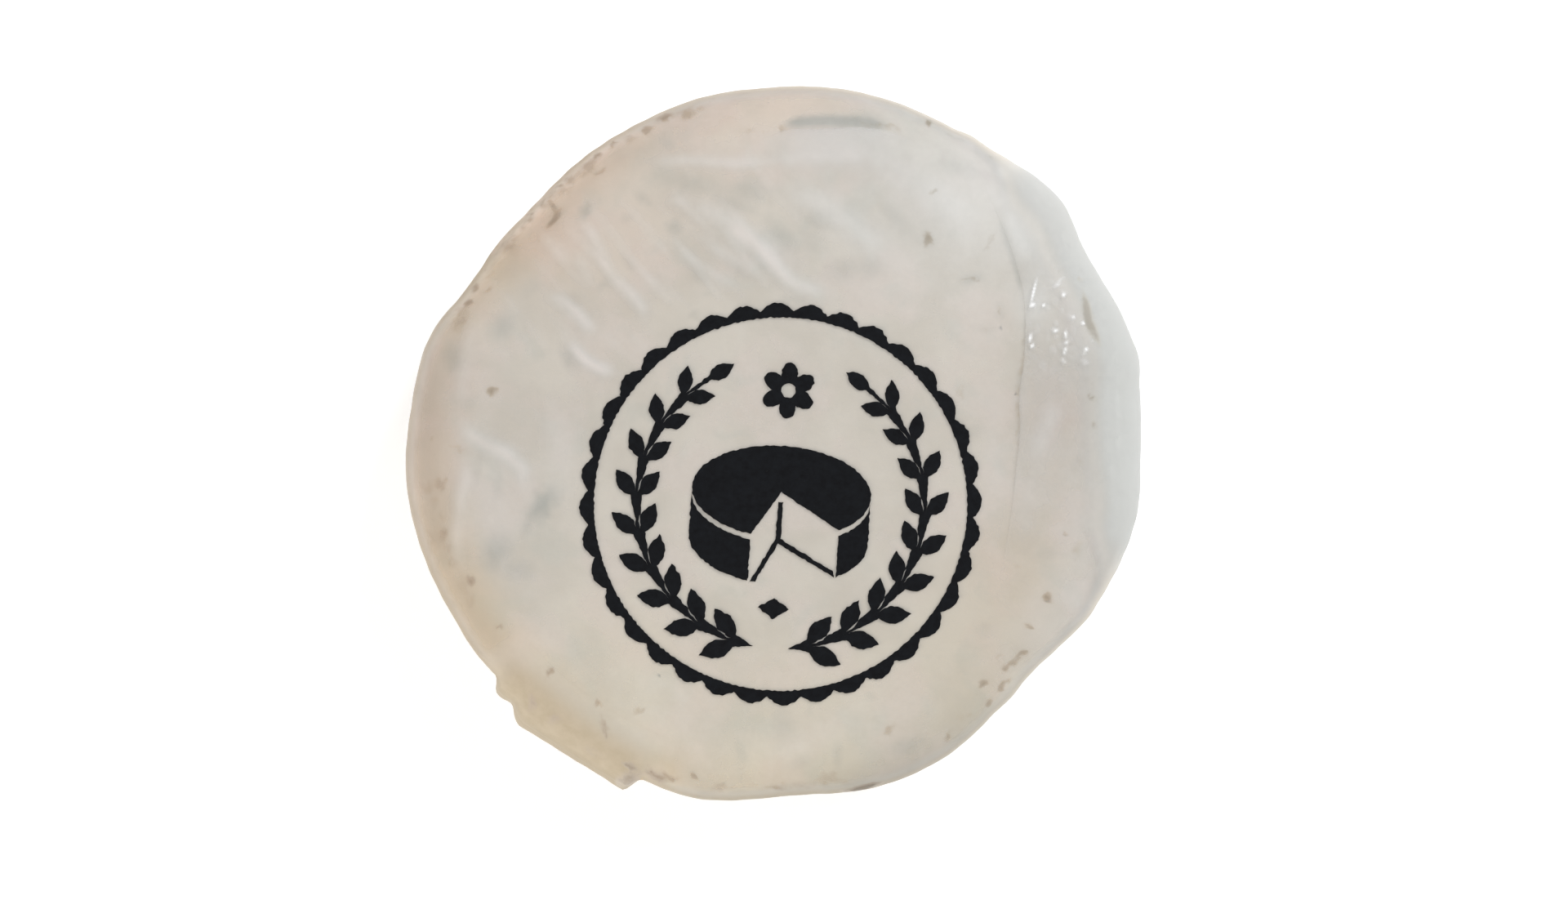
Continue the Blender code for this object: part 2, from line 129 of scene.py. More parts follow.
# The cheese stands this high over the table, clear of the pleats of the film under it
CHEESE_BASE_HEIGHT = 0.6
CHEESE_SIDE_CLEARANCE = 0.1
CHEESE_SHOULDER_RAISE = 0.3
CHEESE_SIDE_RAISE = 0.25
# Heights of the rind's fine relief on the top, the shoulder and the side
TOP_RELIEF = 0.03
SIDE_RELIEF = 0.05

# The cheese reaches this share of the way out into the flap
FLAP_FILLED = 0.86
# The flap is tan from this far inside the rim, and fades at its ends over this share of its length
FLAP_TAN_DEPTH = 8.0
FLAP_TAN_ENDS = 0.30
FLAP_COVER = 0.9
# The tan fades from this share of the way down the side, to this much of itself
FLAP_TAN_FOOT = 0.45
FLAP_TAN_LEFT = 0.25

# A gap shows in full where the film stands off by this much
GAP_FULL_STANDOFF = 1.6
# The film over the gap turns opaque between these distances inside the cheese's rim
BAND_START = 7.3
BAND_FULL = 1.5
# The film's rim turns opaque between these shares of the shoulder
RIM_COVER_START = 0.50
RIM_COVER_FULL = 0.85

# Straight soft wrinkles of the film: points in mm, half width, height, haze
STREAKS = (
    ("main ray's head", ((-17.5, 38.6), (-12.0, 36.0), (-6.0, 32.6)), 1.7, 0.34, 0.30),
    ("main ray's middle", ((-8.5, 34.4), (-3.0, 30.8), (1.6, 26.4)), 1.9, 0.52, 0.58),
    ("main ray's foot", ((-1.6, 28.6), (3.2, 24.8), (8.6, 22.0)), 1.5, 0.42, 0.50),
    ("upper line", ((-20.5, 43.4), (-7.4, 43.1), (2.0, 43.3)), 1.0, 0.26, 0.38),
    ("upper line's end", ((-2.0, 43.3), (7.0, 43.6), (16.0, 43.9)), 1.1, 0.16, 0.20),
    ("second ray", ((-0.5, 38.6), (6.8, 37.2), (11.8, 33.0), (19.6, 28.0)), 2.4, 0.40, 0.46),
    ("third ray", ((13.0, 44.5), (20.0, 41.2), (26.5, 37.0), (32.0, 31.0)), 2.6, 0.26, 0.26),
    ("left ray's head", ((-29.2, 34.4), (-26.4, 29.4), (-24.0, 25.4)), 1.0, 0.32, 0.38),
    ("left ray's foot", ((-24.9, 26.8), (-22.3, 23.0), (-18.8, 18.4)), 1.0, 0.30, 0.44),
    ("short ray", ((-35.8, 32.4), (-33.4, 30.0), (-30.8, 27.6)), 1.1, 0.24, 0.24),
    ("inner ray", ((-30.6, 30.0), (-28.8, 26.6), (-27.4, 23.0)), 1.3, 0.12, 0.20),
    ("thin ray", ((-16.8, 31.9), (-12.4, 28.4), (-8.4, 25.4), (-4.2, 22.2)), 1.0, 0.20, 0.24),
    ("thin ray's twin", ((-14.4, 34.2), (-9.7, 30.8), (-3.6, 26.6), (0.8, 22.6)), 0.9, 0.16, 0.20),
    ("bright foot", ((-31.6, 16.4), (-28.2, 13.0), (-23.8, 9.8)), 1.1, 0.34, 0.54),
    ("short foot", ((-34.6, 23.2), (-31.0, 20.4), (-26.8, 16.8)), 1.1, 0.28, 0.46),
    ("faint rays' gap", ((-20.4, 26.4), (-17.6, 23.6), (-14.6, 20.6)), 1.0, 0.14, 0.16),
    ("bubble's top", ((-49.2, 3.6), (-45.4, 0.8), (-41.4, -1.0), (-38.6, -3.6), (-37.2, -8.0)),
     1.5, 0.42, 0.48),
    ("left rim's line", ((-46.4, -1.0), (-48.0, -8.4), (-48.4, -15.0), (-47.4, -21.6)), 1.3, 0.42, 0.38),
    ("left rim's upper line", ((-45.0, 20.4), (-46.8, 14.0), (-48.2, 4.0)), 1.4, 0.22, 0.24),
    ("top right rim", ((33.6, 42.4), (36.6, 41.6), (39.6, 39.6)), 1.1, 0.20, 0.36),
    ("lap's ray", ((35.6, 36.6), (37.4, 32.0), (39.4, 26.8)), 1.3, 0.12, 0.36),
    ("right streak", ((43.4, 7.6), (41.6, 2.4), (40.4, -3.6)), 1.7, 0.22, 0.38),
    ("right foot's streak", ((40.4, -3.0), (39.4, -8.0), (38.4, -14.0)), 1.6, 0.12, 0.13),
    ("lower middle", ((0.0, -47.6), (3.0, -47.0), (6.0, -45.8)), 1.2, 0.12, 0.14),
    ("lower left fold", ((-20.4, -36.4), (-14.6, -36.8), (-13.4, -41.6)), 1.4, 0.10, 0.16),
)

# Wide puffs where air lies under the film: x, y, half length, half width, turn, height, haze
PUFFS = (
    ("left bubble", -43.8, -9.0, 8.0, 4.4, -86.0, 0.35, 0.12),
    ("crumple", 45.6, 15.4, 4.6, 3.2, 10.0, 0.10, 0.14),
    ("upper lap", 40.2, 30.4, 4.6, 3.4, -50.0, 0.10, 0.22),
    ("lap's corner", 39.9, 21.2, 2.3, 3.8, 0.0, 0.08, 0.56),
    ("upper right", 31.0, 37.5, 15.0, 7.5, -42.0, 0.20, 0.34),
    ("under the crescent", 9.0, 45.6, 10.0, 2.6, -3.0, 0.20, 0.42),
    ("upper right field", 25.0, 32.0, 14.0, 8.0, -42.0, 0.12, 0.22),
    ("lower left field", -22.0, -40.0, 15.0, 6.0, -28.0, 0.08, 0.10),
    ("lower field", 6.0, -45.0, 15.0, 5.5, 8.0, 0.08, 0.12),
    ("left of the seal", -32.0, -2.0, 3.0, 7.0, 0.0, 0.10, 0.20),
    ("right of the seal", 33.5, -4.0, 2.6, 9.0, 0.0, 0.08, 0.14),
)

# Fine fanned folds at the upper left, in the same terms without height and haze
FANNED_FOLDS = (-17.0, 28.0, 19.0, 11.0, 20.0)

# The right-hand edge where the film laps over itself, from its top end to its foot
LAP_EDGE = (
    (31.0, 42.0), (32.8, 38.4), (34.6, 34.6), (36.6, 29.4), (37.9, 25.4), (38.5, 21.5),
    (38.7, 17.6), (38.4, 12.2), (37.6, 7.5), (37.9, 1.8), (37.3, -2.8), (36.7, -9.2),
    (35.6, -16.0), (34.2, -24.0),
)
# Where the lap is crumpled: x, y, half length, half width, turn
LAP_CRUMPLE = (43.4, 18.0, 8.0, 5.0, 80.0)
LAP_HEIGHT = 0.14
LAP_THICKNESS = 0.05
# The top edge of a second lap under the crescent gap
CREST_EDGE = (
    (-1.5, 46.6), (0.9, 47.8), (2.4, 48.25), (5.6, 48.15), (9.0, 48.3), (13.0, 48.5),
    (16.2, 48.2), (19.4, 47.4), (22.6, 45.9),
)

CREST_DEPTH = 10.0

# Small crumples of the lap that glint, each crest raised and also painted white as a painted highlight: x,
# y, length, width, turn in degrees
GLINTS = (
    (39.9, 23.2, 3.4, 0.42, 76.0), (39.8, 21.2, 1.0, 0.62, 20.0), (37.1, 21.3, 1.0, 0.34, 15.0),
    (38.2, 20.4, 0.7, 0.36, 60.0), (41.4, 21.2, 0.6, 0.34, 0.0), (43.7, 24.6, 1.8, 0.36, 35.0),
    (44.4, 22.8, 0.6, 0.42, 0.0), (39.4, 16.2, 1.1, 0.50, 80.0), (39.7, 15.0, 0.8, 0.36, 60.0),
    (43.2, 17.4, 0.9, 0.48, 10.0), (44.8, 16.8, 1.0, 0.38, 82.0), (44.9, 15.6, 0.6, 0.36, 20.0),
    (44.7, 14.2, 0.8, 0.44, 60.0), (44.5, 12.7, 0.6, 0.42, 0.0), (46.0, 19.2, 0.6, 0.34, 50.0),
    (47.4, 18.5, 0.5, 0.30, 0.0), (47.9, 14.3, 1.0, 0.38, 52.0), (48.9, 15.6, 0.5, 0.28, 30.0),
    (47.8, 12.6, 1.1, 0.40, 12.0),
)

# Ochre and brown marks of the rind: x, y, half length, half width, turn, strength
MARKS_RIGHT = (
    (23.8, 31.3, 1.15, 0.75, 95.0, 0.86), (24.8, 38.7, 0.95, 0.45, 18.0, 0.56),
    (30.9, 25.2, 1.00, 0.58, 10.0, 0.55), (29.5, 25.0, 1.10, 0.36, 5.0, 0.48),
    (34.7, 20.2, 0.90, 0.45, 90.0, 0.45), (32.7, 17.6, 1.80, 0.60, 0.0, 0.30),
    (22.4, 17.9, 0.80, 0.50, 90.0, 0.20), (28.7, 7.5, 1.25, 1.15, 0.0, 0.35),
    (33.4, 31.0, 2.30, 0.65, 58.0, 0.38), (47.0, 25.0, 0.60, 0.48, 0.0, 0.90),
    (48.9, 7.0, 0.75, 0.62, 0.0, 0.80),
    (49.3, 3.0, 0.85, 0.42, 90.0, 0.75), (47.4, -2.8, 0.70, 0.50, 0.0, 0.30),
    (48.9, 9.6, 3.20, 0.70, 86.0, 0.28), (43.7, 26.6, 1.50, 0.40, 3.0, 0.42),
    (45.2, 4.6, 4.20, 1.30, 88.0, 0.26), (46.8, -3.4, 2.60, 1.00, 70.0, 0.26),
    (33.4, 15.0, 2.20, 1.20, 10.0, 0.20), (28.6, 8.2, 2.40, 1.10, 12.0, 0.24),
    (40.5, 14.8, 1.50, 0.50, 90.0, 0.30), (44.3, 20.8, 1.00, 0.90, 90.0, 0.20),
    (44.7, -13.7, 0.45, 0.42, 0.0, 0.75), (46.7, -16.2, 2.00, 0.85, 78.0, 0.42),
    (37.4, -18.5, 1.00, 0.42, -56.0, 0.52), (42.0, -23.5, 0.85, 0.75, 0.0, 1.00),
    (43.1, -22.8, 0.85, 0.24, 35.0, 0.45), (43.7, -24.9, 0.95, 0.26, -55.0, 0.38),
    (39.2, -27.8, 0.60, 0.44, 50.0, 0.95), (37.0, -33.2, 1.90, 0.46, 40.0, 0.86),
    (38.6, -32.0, 0.55, 0.44, 40.0, 0.95), (35.7, -34.3, 0.60, 0.50, 50.0, 0.95),
    (35.2, -37.0, 1.45, 0.40, 46.0, 0.90), (32.3, -36.7, 0.80, 0.42, 20.0, 1.00),
    (32.9, -35.9, 0.55, 0.22, 55.0, 0.45), (33.0, -39.6, 0.55, 0.52, 0.0, 0.92),
    (30.5, -41.3, 0.45, 0.42, 0.0, 0.72), (28.4, -42.0, 1.80, 0.80, 10.0, 0.30),
    (27.0, -44.7, 0.90, 0.46, 82.0, 0.95), (25.7, -46.6, 0.50, 0.40, 0.0, 0.32),
    (17.9, -43.7, 1.30, 0.85, 35.0, 0.56), (34.6, -32.6, 1.40, 0.30, 62.0, 0.48),
    # The marks at (27.5, 47.2) and (33.5, 43.6) are painted shade along the top right rim
    (23.8, 49.1, 0.70, 0.56, 0.0, 0.95), (27.5, 47.2, 2.20, 0.60, -30.0, 0.35),
    (33.5, 43.6, 1.40, 0.50, -28.0, 0.40), (42.0, -23.8, 0.42, 0.36, 0.0, 1.60),
)
MARKS_BOTTOM = (
    (8.6, -51.2, 1.90, 1.00, 0.0, 0.52), (11.4, -52.0, 2.00, 0.80, 0.0, 0.36),
    (4.6, -52.4, 2.80, 0.65, 6.0, 0.42),
    (18.0, -50.5, 3.80, 0.90, 14.0, 0.22), (-8.0, -52.6, 2.00, 0.60, -3.0, 0.45),
    (-11.8, -51.1, 0.75, 0.42, -40.0, 0.88), (-18.3, -49.9, 0.60, 0.50, -10.0, 0.85),
    (-15.0, -51.4, 0.90, 0.36, 20.0, 0.85),
    (-11.8, -43.0, 1.20, 0.80, 0.0, 0.20), (-9.4, -45.0, 1.00, 0.80, 0.0, 0.20),
    (-20.5, -40.9, 1.25, 0.65, 25.0, 0.50), (-25.8, -43.2, 1.70, 0.50, -72.0, 0.72),
    (-25.2, -44.8, 0.55, 0.48, 0.0, 0.95), (-26.7, -39.9, 0.60, 0.42, -40.0, 0.88),
    (-34.1, -34.9, 0.70, 0.38, -30.0, 0.92), (-34.6, -36.1, 0.85, 0.60, 70.0, 0.35),
    (-20.1, -34.7, 0.60, 0.32, 90.0, 0.30), (-36.8, -39.5, 1.30, 0.85, 90.0, 0.64),
    (-33.2, -42.1, 1.30, 0.95, 0.0, 0.60), (-33.6, -40.6, 0.45, 0.40, 0.0, 0.42),
    (-27.6, -47.0, 2.20, 0.80, -32.0, 0.40), (-22.2, -51.3, 2.20, 1.30, 24.0, 0.84),
)
MARKS_LEFT = (
    (-41.9, -28.0, 0.70, 0.42, -15.0, 0.95), (-46.0, -24.0, 1.60, 0.42, 86.0, 0.50),
    (-46.3, -21.0, 0.75, 0.56, 0.0, 0.95), (-50.5, -14.1, 1.10, 0.85, -60.0, 0.72),
    (-49.4, -16.6, 1.70, 0.32, -72.0, 0.72), (-50.8, -6.1, 1.15, 1.00, 0.0, 0.80),
    (-51.6, -8.4, 1.90, 1.20, 80.0, 0.36), (-51.4, -14.8, 1.80, 1.50, -60.0, 0.40),
    (-52.6, -6.7, 1.50, 1.10, 0.0, 0.45), (-48.1, -0.7, 1.30, 0.80, -10.0, 0.50),
    (-52.0, 0.8, 0.50, 0.42, 90.0, 0.60), (-42.9, 8.1, 0.85, 0.70, 15.0, 1.00),
    (-29.9, 6.5, 0.80, 0.60, 90.0, 0.30), (-41.3, 17.5, 0.80, 0.45, 35.0, 0.24),
    (-46.5, 21.6, 0.75, 0.68, 0.0, 1.10), (-47.6, 19.2, 2.60, 1.25, 68.0, 0.60),
    (-45.5, 23.8, 0.80, 0.52, 50.0, 0.80), (-43.9, 26.8, 0.55, 0.32, 55.0, 0.62),
    (-43.7, 23.4, 0.85, 0.28, 38.0, 0.80), (-43.1, 26.0, 0.95, 0.22, 40.0, 0.42),
)
MARKS_UPPER_LEFT = (
    (-40.3, 30.2, 1.60, 1.35, 0.0, 0.60), (-33.4, 35.0, 2.60, 1.60, 45.0, 0.32),
    (-28.7, 35.6, 2.20, 1.60, 60.0, 0.24), (-37.1, 35.3, 0.95, 0.42, 45.0, 0.80),
    (-35.8, 31.2, 0.55, 0.50, 40.0, 0.45), (-33.9, 36.9, 0.60, 0.40, -60.0, 0.70),
    (-32.7, 39.5, 0.85, 0.42, 40.0, 0.72), (-30.7, 39.0, 1.80, 0.60, 62.0, 0.38),
    (-28.2, 42.4, 2.20, 1.00, 48.0, 0.62),
    (-26.3, 41.6, 1.60, 0.34, 48.0, 0.80), (-26.8, 44.1, 0.80, 0.52, 40.0, 0.80),
    (-24.5, 45.8, 0.85, 0.42, 35.0, 0.72), (-22.1, 46.6, 1.10, 0.75, 0.0, 0.50),
    (-19.3, 48.1, 1.10, 0.55, 12.0, 0.80), (-16.6, 50.0, 1.70, 0.75, 12.0, 0.92),
    (-13.0, 50.6, 1.50, 1.00, 25.0, 0.72), (-2.5, 52.4, 2.20, 0.90, -25.0, 0.24),
    (8.4, 53.4, 1.50, 0.90, 0.0, 0.22), (-3.6, 47.8, 3.60, 0.90, -2.0, 0.30),
    (1.3, 48.2, 0.90, 0.80, 60.0, 0.50),
)
BROWN_MARKS = MARKS_RIGHT + MARKS_BOTTOM + MARKS_LEFT + MARKS_UPPER_LEFT

# How crisp the brown marks' rims are, and the grey ones'
BROWN_SHARPNESS = 2.6
GREY_SHARPNESS = 2.0

# Soft grey shadows under the film, in the same terms
GREY_MARKS = (
    (-35.3, -9.4, 3.0, 1.5, 50.0, 0.92), (-37.2, -12.2, 1.8, 0.9, 60.0, 0.50),
    (-42.4, -16.6, 3.0, 1.9, 70.0, 0.62), (-39.0, -19.4, 2.6, 1.5, -10.0, 0.42),
    (-42.0, -6.8, 1.9, 1.0, 85.0, 0.32), (-45.2, -4.0, 3.4, 0.9, 82.0, 0.22),
    (-31.2, 13.0, 2.1, 1.1, -60.0, 0.50), (-28.7, 35.6, 1.35, 0.85, 60.0, 0.65),
    (-19.9, 37.6, 1.2, 0.9, -30.0, 0.36), (-15.0, 33.1, 1.1, 1.1, 0.0, 0.52),
    (-22.4, 34.6, 1.2, 0.9, 0.0, 0.22), (-16.2, 46.1, 1.4, 0.9, -45.0, 0.30),
    (-12.0, 19.8, 1.0, 0.8, 0.0, 0.30), (-12.0, 39.8, 5.6, 1.6, -12.0, 0.38),
    (-3.6, 38.8, 2.8, 2.0, 0.0, 0.40), (-7.0, 37.2, 4.2, 1.1, -24.0, 0.34),
    (1.6, 31.6, 3.6, 1.7, -52.0, 0.38), (6.8, 34.2, 2.4, 1.5, 15.0, 0.36),
    (6.2, 30.6, 3.0, 2.0, -40.0, 0.26), (11.0, 26.6, 2.8, 1.7, 10.0, 0.38),
    (15.0, 27.0, 2.3, 1.7, 0.0, 0.36), (18.6, 35.0, 3.1, 1.4, -52.0, 0.32),
    (3.4, 22.2, 2.2, 0.8, 0.0, 0.30), (28.4, 42.2, 3.8, 1.2, -14.0, 0.38),
    (-25.8, 24.4, 1.3, 0.8, 40.0, 0.32), (-22.0, 27.6, 1.7, 0.8, -55.0, 0.28),
    (-11.4, 25.9, 2.1, 1.0, -50.0, 0.32), (-5.4, 26.8, 2.6, 0.9, -38.0, 0.30),
    (-30.5, 22.2, 2.3, 1.4, 0.0, 0.20), (-37.0, 24.0, 2.0, 1.4, 40.0, 0.20),
    (-41.4, 18.0, 2.2, 1.6, 50.0, 0.56), (-48.8, 13.0, 2.4, 1.5, 90.0, 0.46),
    (23.8, 31.3, 1.3, 0.9, 95.0, 0.35), (30.6, 25.2, 1.6, 0.8, 8.0, 0.56),
    (32.4, -28.5, 1.6, 1.3, 0.0, 0.22), (1.6, -43.2, 3.0, 1.7, 90.0, 0.30),
    (10.0, -47.8, 2.2, 0.8, 90.0, 0.32), (20.6, -46.2, 2.3, 1.2, 20.0, 0.42),
    (4.0, -48.9, 2.4, 0.8, 22.0, 0.26), (14.9, -38.6, 0.9, 0.7, 0.0, 0.26),
    (5.8, -40.6, 1.2, 0.6, 60.0, 0.22), (-4.9, -48.0, 2.8, 1.0, 90.0, 0.26),
    (31.0, 2.0, 1.6, 1.2, 0.0, 0.20), (-24.0, 44.6, 3.0, 1.2, 25.0, 0.20),
    (34.7, 20.0, 1.3, 0.8, 90.0, 0.28), (32.7, 17.6, 2.0, 0.8, 0.0, 0.24),
    (-46.8, 6.2, 1.6, 1.3, 0.0, 0.22), (46.8, -3.0, 2.4, 1.2, 70.0, 0.20),
    (42.1, -16.8, 1.5, 1.1, 0.0, 0.20),
)

# Dark lines of painted shadow, in the crescent gap and along the right lap's folded edge: points, half
# width, strength
PAINTED_SHADOW_LINES = (
    ("crescent gap", ((0.2, 48.6), (4.5, 49.3), (9.0, 49.5), (13.5, 49.3), (19.0, 48.4)), 0.85, 1.25),
    ("crescent gap's core", ((1.6, 49.1), (5.5, 49.2), (10.0, 49.1), (14.5, 48.9)), 0.55, 1.10),
    ("right crease's top", ((34.4, 35.4), (36.6, 29.0), (37.7, 25.4), (38.1, 22.0)), 0.50, 0.62),
    ("right crease's middle", ((38.4, 20.5), (38.6, 17.6), (38.4, 14.0)), 0.26, 0.26),
    ("right crease's foot", ((38.3, 13.6), (37.5, 7.6), (37.7, 2.6), (37.3, -1.4)), 0.66, 0.32),
    ("right crease's tail", ((37.7, 0.6), (37.1, -4.0), (36.6, -10.0)), 0.80, 0.16),
)
# Brown lines of the rind in the same terms; those at the crescent gap's end and along the right lap's edge
# are painted shade
BROWN_LINES = (
    ("upper left rim", ((-45.2, 25.0), (-41.0, 30.6), (-36.0, 36.4), (-31.0, 40.4), (-26.0, 44.6)),
     1.60, 0.50),
    ("top left rim", ((-21.0, 47.8), (-17.0, 49.8), (-12.0, 51.6), (-8.0, 52.0)), 0.90, 0.42),
    ("left rim", ((-51.4, -3.0), (-51.2, -10.0), (-49.4, -17.0), (-46.4, -24.4), (-44.4, -29.0)),
     1.10, 0.34),
    ("flap's foot", ((-21.6, -48.8), (-18.4, -50.4), (-14.0, -51.6)), 0.90, 0.52),
    ("bottom rim", ((-6.0, -52.4), (0.0, -52.6), (8.0, -51.6), (14.0, -52.0)), 0.80, 0.36),
    ("crescent gap's end", ((12.0, 49.4), (16.0, 48.9), (21.0, 47.9)), 0.60, 0.46),
    ("right crease", ((38.4, 21.0), (38.5, 14.0), (37.5, 7.6), (37.7, 2.6), (37.0, -5.0)), 0.55, 0.42),
)

# Painted shade in crisp dark folds, and a painted shadow in the gap at the lower right, in the same terms
FOLD_SHADE_LINES = (
    ("V crease", ((-31.7, 37.0), (-33.3, 34.6), (-35.2, 31.9)), 0.38, 1.40),
    ("V crease's arm", ((-34.8, 37.0), (-33.7, 36.5), (-33.0, 34.9)), 0.30, 1.10),
    ("right fold", ((46.8, 25.8), (47.8, 22.2), (48.4, 18.6), (49.8, 15.8), (51.0, 12.6)), 0.80, 1.12),
    ("foot fold's head", ((-24.0, -48.5), (-21.6, -49.2), (-19.9, -50.3)), 0.45, 0.95),
    ("foot fold", ((-20.8, -50.2), (-17.6, -51.0), (-14.4, -51.9)), 1.05, 0.66),
    ("bottom fold", ((-1.6, -52.2), (0.8, -52.7), (3.6, -53.0)), 0.50, 0.56),
    ("lower right gap", ((9.2, -53.2), (12.4, -53.05), (14.4, -52.55), (18.2, -51.3)), 0.46, 1.90),
)
# Lines thin over this share of their length at each end, folds over more of it
LINE_TAPER = 0.22
FOLD_TAPER = 0.42

# Seeded ochre speckle of the cheese's side
SPECKLE_SEED = 29
SPECKLES = 320

# Tiny black dots: x, y
BLACK_DOTS = ((35.0, 17.7), (37.3, 7.7), (-17.4, -35.4), (52.9, 10.0))
BLACK_DOT_RADIUS = 0.24

# Tints round the rim, partly the rind's own colour and partly painted light and shade: angle, half width
# in degrees, pink, straw, brightness
RIM_TINTS = (
    ("top", 86.0, 14.0, 0.45, 0.00, 0.50),
    ("top left", 104.0, 12.0, 0.05, 0.00, -0.28),
    ("upper left", 128.0, 24.0, 0.80, 0.25, 0.20),
    ("upper left's top", 120.0, 11.0, 0.05, 0.00, 0.30),
    ("left flat's end", 150.0, 10.0, 0.25, 0.65, -0.10),
    ("left", 180.0, 26.0, 0.75, 0.20, -0.34),
    ("left's foot", 202.0, 14.0, 0.25, 0.45, -0.05),
    ("lower left", 224.0, 20.0, 0.50, 0.55, 0.65),
    ("bottom", 264.0, 22.0, 0.22, 0.28, 0.50),
    ("bottom right", 290.0, 12.0, -0.10, 0.05, -0.60),
    ("lower right", 312.0, 18.0, 0.00, 0.22, 0.10),
    ("lower right's end", 328.0, 9.0, 0.00, -0.45, 0.60),
    ("right", 0.0, 30.0, -0.10, -0.50, 0.20),
    ("upper right", 45.0, 20.0, -0.10, -0.45, 0.60),
)
RIM_TINT_START = 43.5
RIM_TINT_FULL = 53.0

# Painted light where the edge of the wheel is paler, lifting its shoulder out of the shade: angle, half
# width in degrees, amount
EDGE_PAINTED_LIGHTS = (
    ("upper left", 133.0, 22.0, 0.30),
    ("left", 184.0, 24.0, 0.22),
    ("lower left", 215.0, 12.0, 0.04),
    ("flap", 236.0, 13.0, 0.30),
    ("bottom", 262.0, 10.0, 0.06),
    ("lower right", 320.0, 15.0, 0.10),
)
# Its place across the shoulder, as a share of it
PALE_AT = 0.64
PALE_WIDTH = 0.13
# Painted light along the fold where the flap leaves the wheel, making it paler where it would lie in shade
FLAP_FOLD_PAINTED_LIGHTS = (("flap's fold", 236.0, 13.0, 0.12),)
FLAP_FOLD_AT = 0.42
# Painted shade where the shoulder's foot turns down into the side, darker and browner, in the same terms
FOOT_SHADES = (
    ("upper left", 133.0, 26.0, 0.58),
    ("left flat's end", 154.0, 9.0, 0.20),
    ("left", 180.0, 17.0, 0.18),
    ("lower left", 210.0, 16.0, 0.34),
    ("flap", 237.0, 12.0, 0.27),
    ("bottom", 272.0, 24.0, 0.54),
    ("bottom right", 291.0, 9.0, 0.14),
    ("lower right", 308.0, 10.0, 0.05),
    ("top", 95.0, 16.0, 0.12),
)
DARK_START = 0.65
DARK_FULL = 0.86
DARK_END = 0.20

# Tints of the field, partly the rind's own colour and partly painted light and shade: x, y, radius, pink,
# straw, brightness
FIELD_TINTS = (
    ("lower left field", -24.0, -38.0, 16.0, 0.10, 0.42, 0.30),
    ("bottom field", 4.0, -46.0, 16.0, 0.05, 0.45, 0.25),
    ("lower right field", 30.0, -34.0, 14.0, 0.15, 0.35, -0.15),
    ("upper middle", 14.0, 33.0, 18.0, -0.05, -0.25, 0.15),
    ("upper right field", 31.0, 31.0, 14.0, -0.10, -0.45, 0.75),
    ("top field", -4.0, 46.0, 12.0, 0.25, 0.05, 0.35),
    ("upper left field", -26.0, 34.0, 15.0, 0.45, 0.05, 0.20),
    ("left field", -38.0, 4.0, 12.0, 0.10, 0.00, -0.15),
    ("upper left corner", -35.0, 30.5, 6.0, 0.40, 0.25, -0.20),
    ("flap's end", -18.0, -51.0, 3.5, 0.30, 0.75, 0.00),
    ("right field", 44.5, 3.0, 8.0, 0.30, -0.10, -0.35),
    ("right upper field", 43.0, 12.0, 6.0, 0.00, -0.15, -0.30),
    # Painted light on the lap's corner beside its glints
    ("lap's corner field", 40.0, 21.0, 3.0, -0.10, -0.50, 0.60),
    ("right low field", 37.0, -18.0, 9.0, 0.30, 0.25, -0.20),
)

# The table's own glow, and its half width in metres
FLOOR_GLOW = 0.34
FLOOR_HALF_WIDTH = 2.5

# Haze of the film down the side, and more of it on the crests of the pleats
SIDE_HAZE = 0.22
CREST_HAZE = 0.60
# The film clears this much from the shoulder's foot to the base's corner
SIDE_CLEARING = 0.60
# Stains of the rim end this share of the way down the side
STAIN_DEPTH = 0.13

# The film's and the cheese's facts under the base, and their tints on its corner
BASE_FILM_FACTS = {
    "haze": 0.6, "cover": 0.22, "gap": 0.0, "tan": 0.0, "stain": 0.0, "pale": 0.0, "dark": 0.0,
    "pink": 0.3, "straw": 0.3, "bright": 0.0,
}
BASE_CHEESE_FACTS = {
    "brown": 0.0, "grey": 0.0, "pink": 0.3, "straw": 0.3, "bright": 0.0, "dots": 0.0, "pale": 0.0,
}
CORNER_TINTS = {"pink": 0.5, "straw": 0.4}

# Random fields: how many waves each sums, and how far their lengths spread
WAVE_COUNT = 28
WAVE_SPREAD = 0.45

# Colours of the rind
RIND_CREAM = (0.505, 0.446, 0.366)
RIND_PALE = (0.572, 0.513, 0.432)
RIND_BLUSH = (0.560, 0.475, 0.400)
RIND_PALLOR = (0.465, 0.440, 0.370)
RIND_OCHRE = (0.420, 0.332, 0.237)
RIND_BROWN = (0.237, 0.185, 0.135)
# Painted shadow grey, for the film's shadows on the rind
PAINTED_SHADOW_GREY = (0.270, 0.265, 0.218)
DOT_BLACK = (0.01, 0.01, 0.01)

# Colours of the film, in pairs that its unevenness passes between
MILKY = ((0.745, 0.745, 0.730), (0.785, 0.780, 0.765))
MILKY_RIM = ((0.605, 0.548, 0.468), (0.635, 0.578, 0.498))
# Painted grey of the film over the gap, for the shade behind it
GAP_SHADE_GREYS = ((0.578, 0.580, 0.556), (0.595, 0.588, 0.562))
FLAP_TANS = ((0.606, 0.506, 0.363), (0.660, 0.557, 0.415))
CREST_WHITE = (0.840, 0.766, 0.736)
# Painted light where the band over the gap begins
PAINTED_BAND_LIGHT = (0.90, 0.88, 0.84)
STAIN_TAN = (0.592, 0.528, 0.440)
STAIN_BROWN = (0.458, 0.394, 0.316)
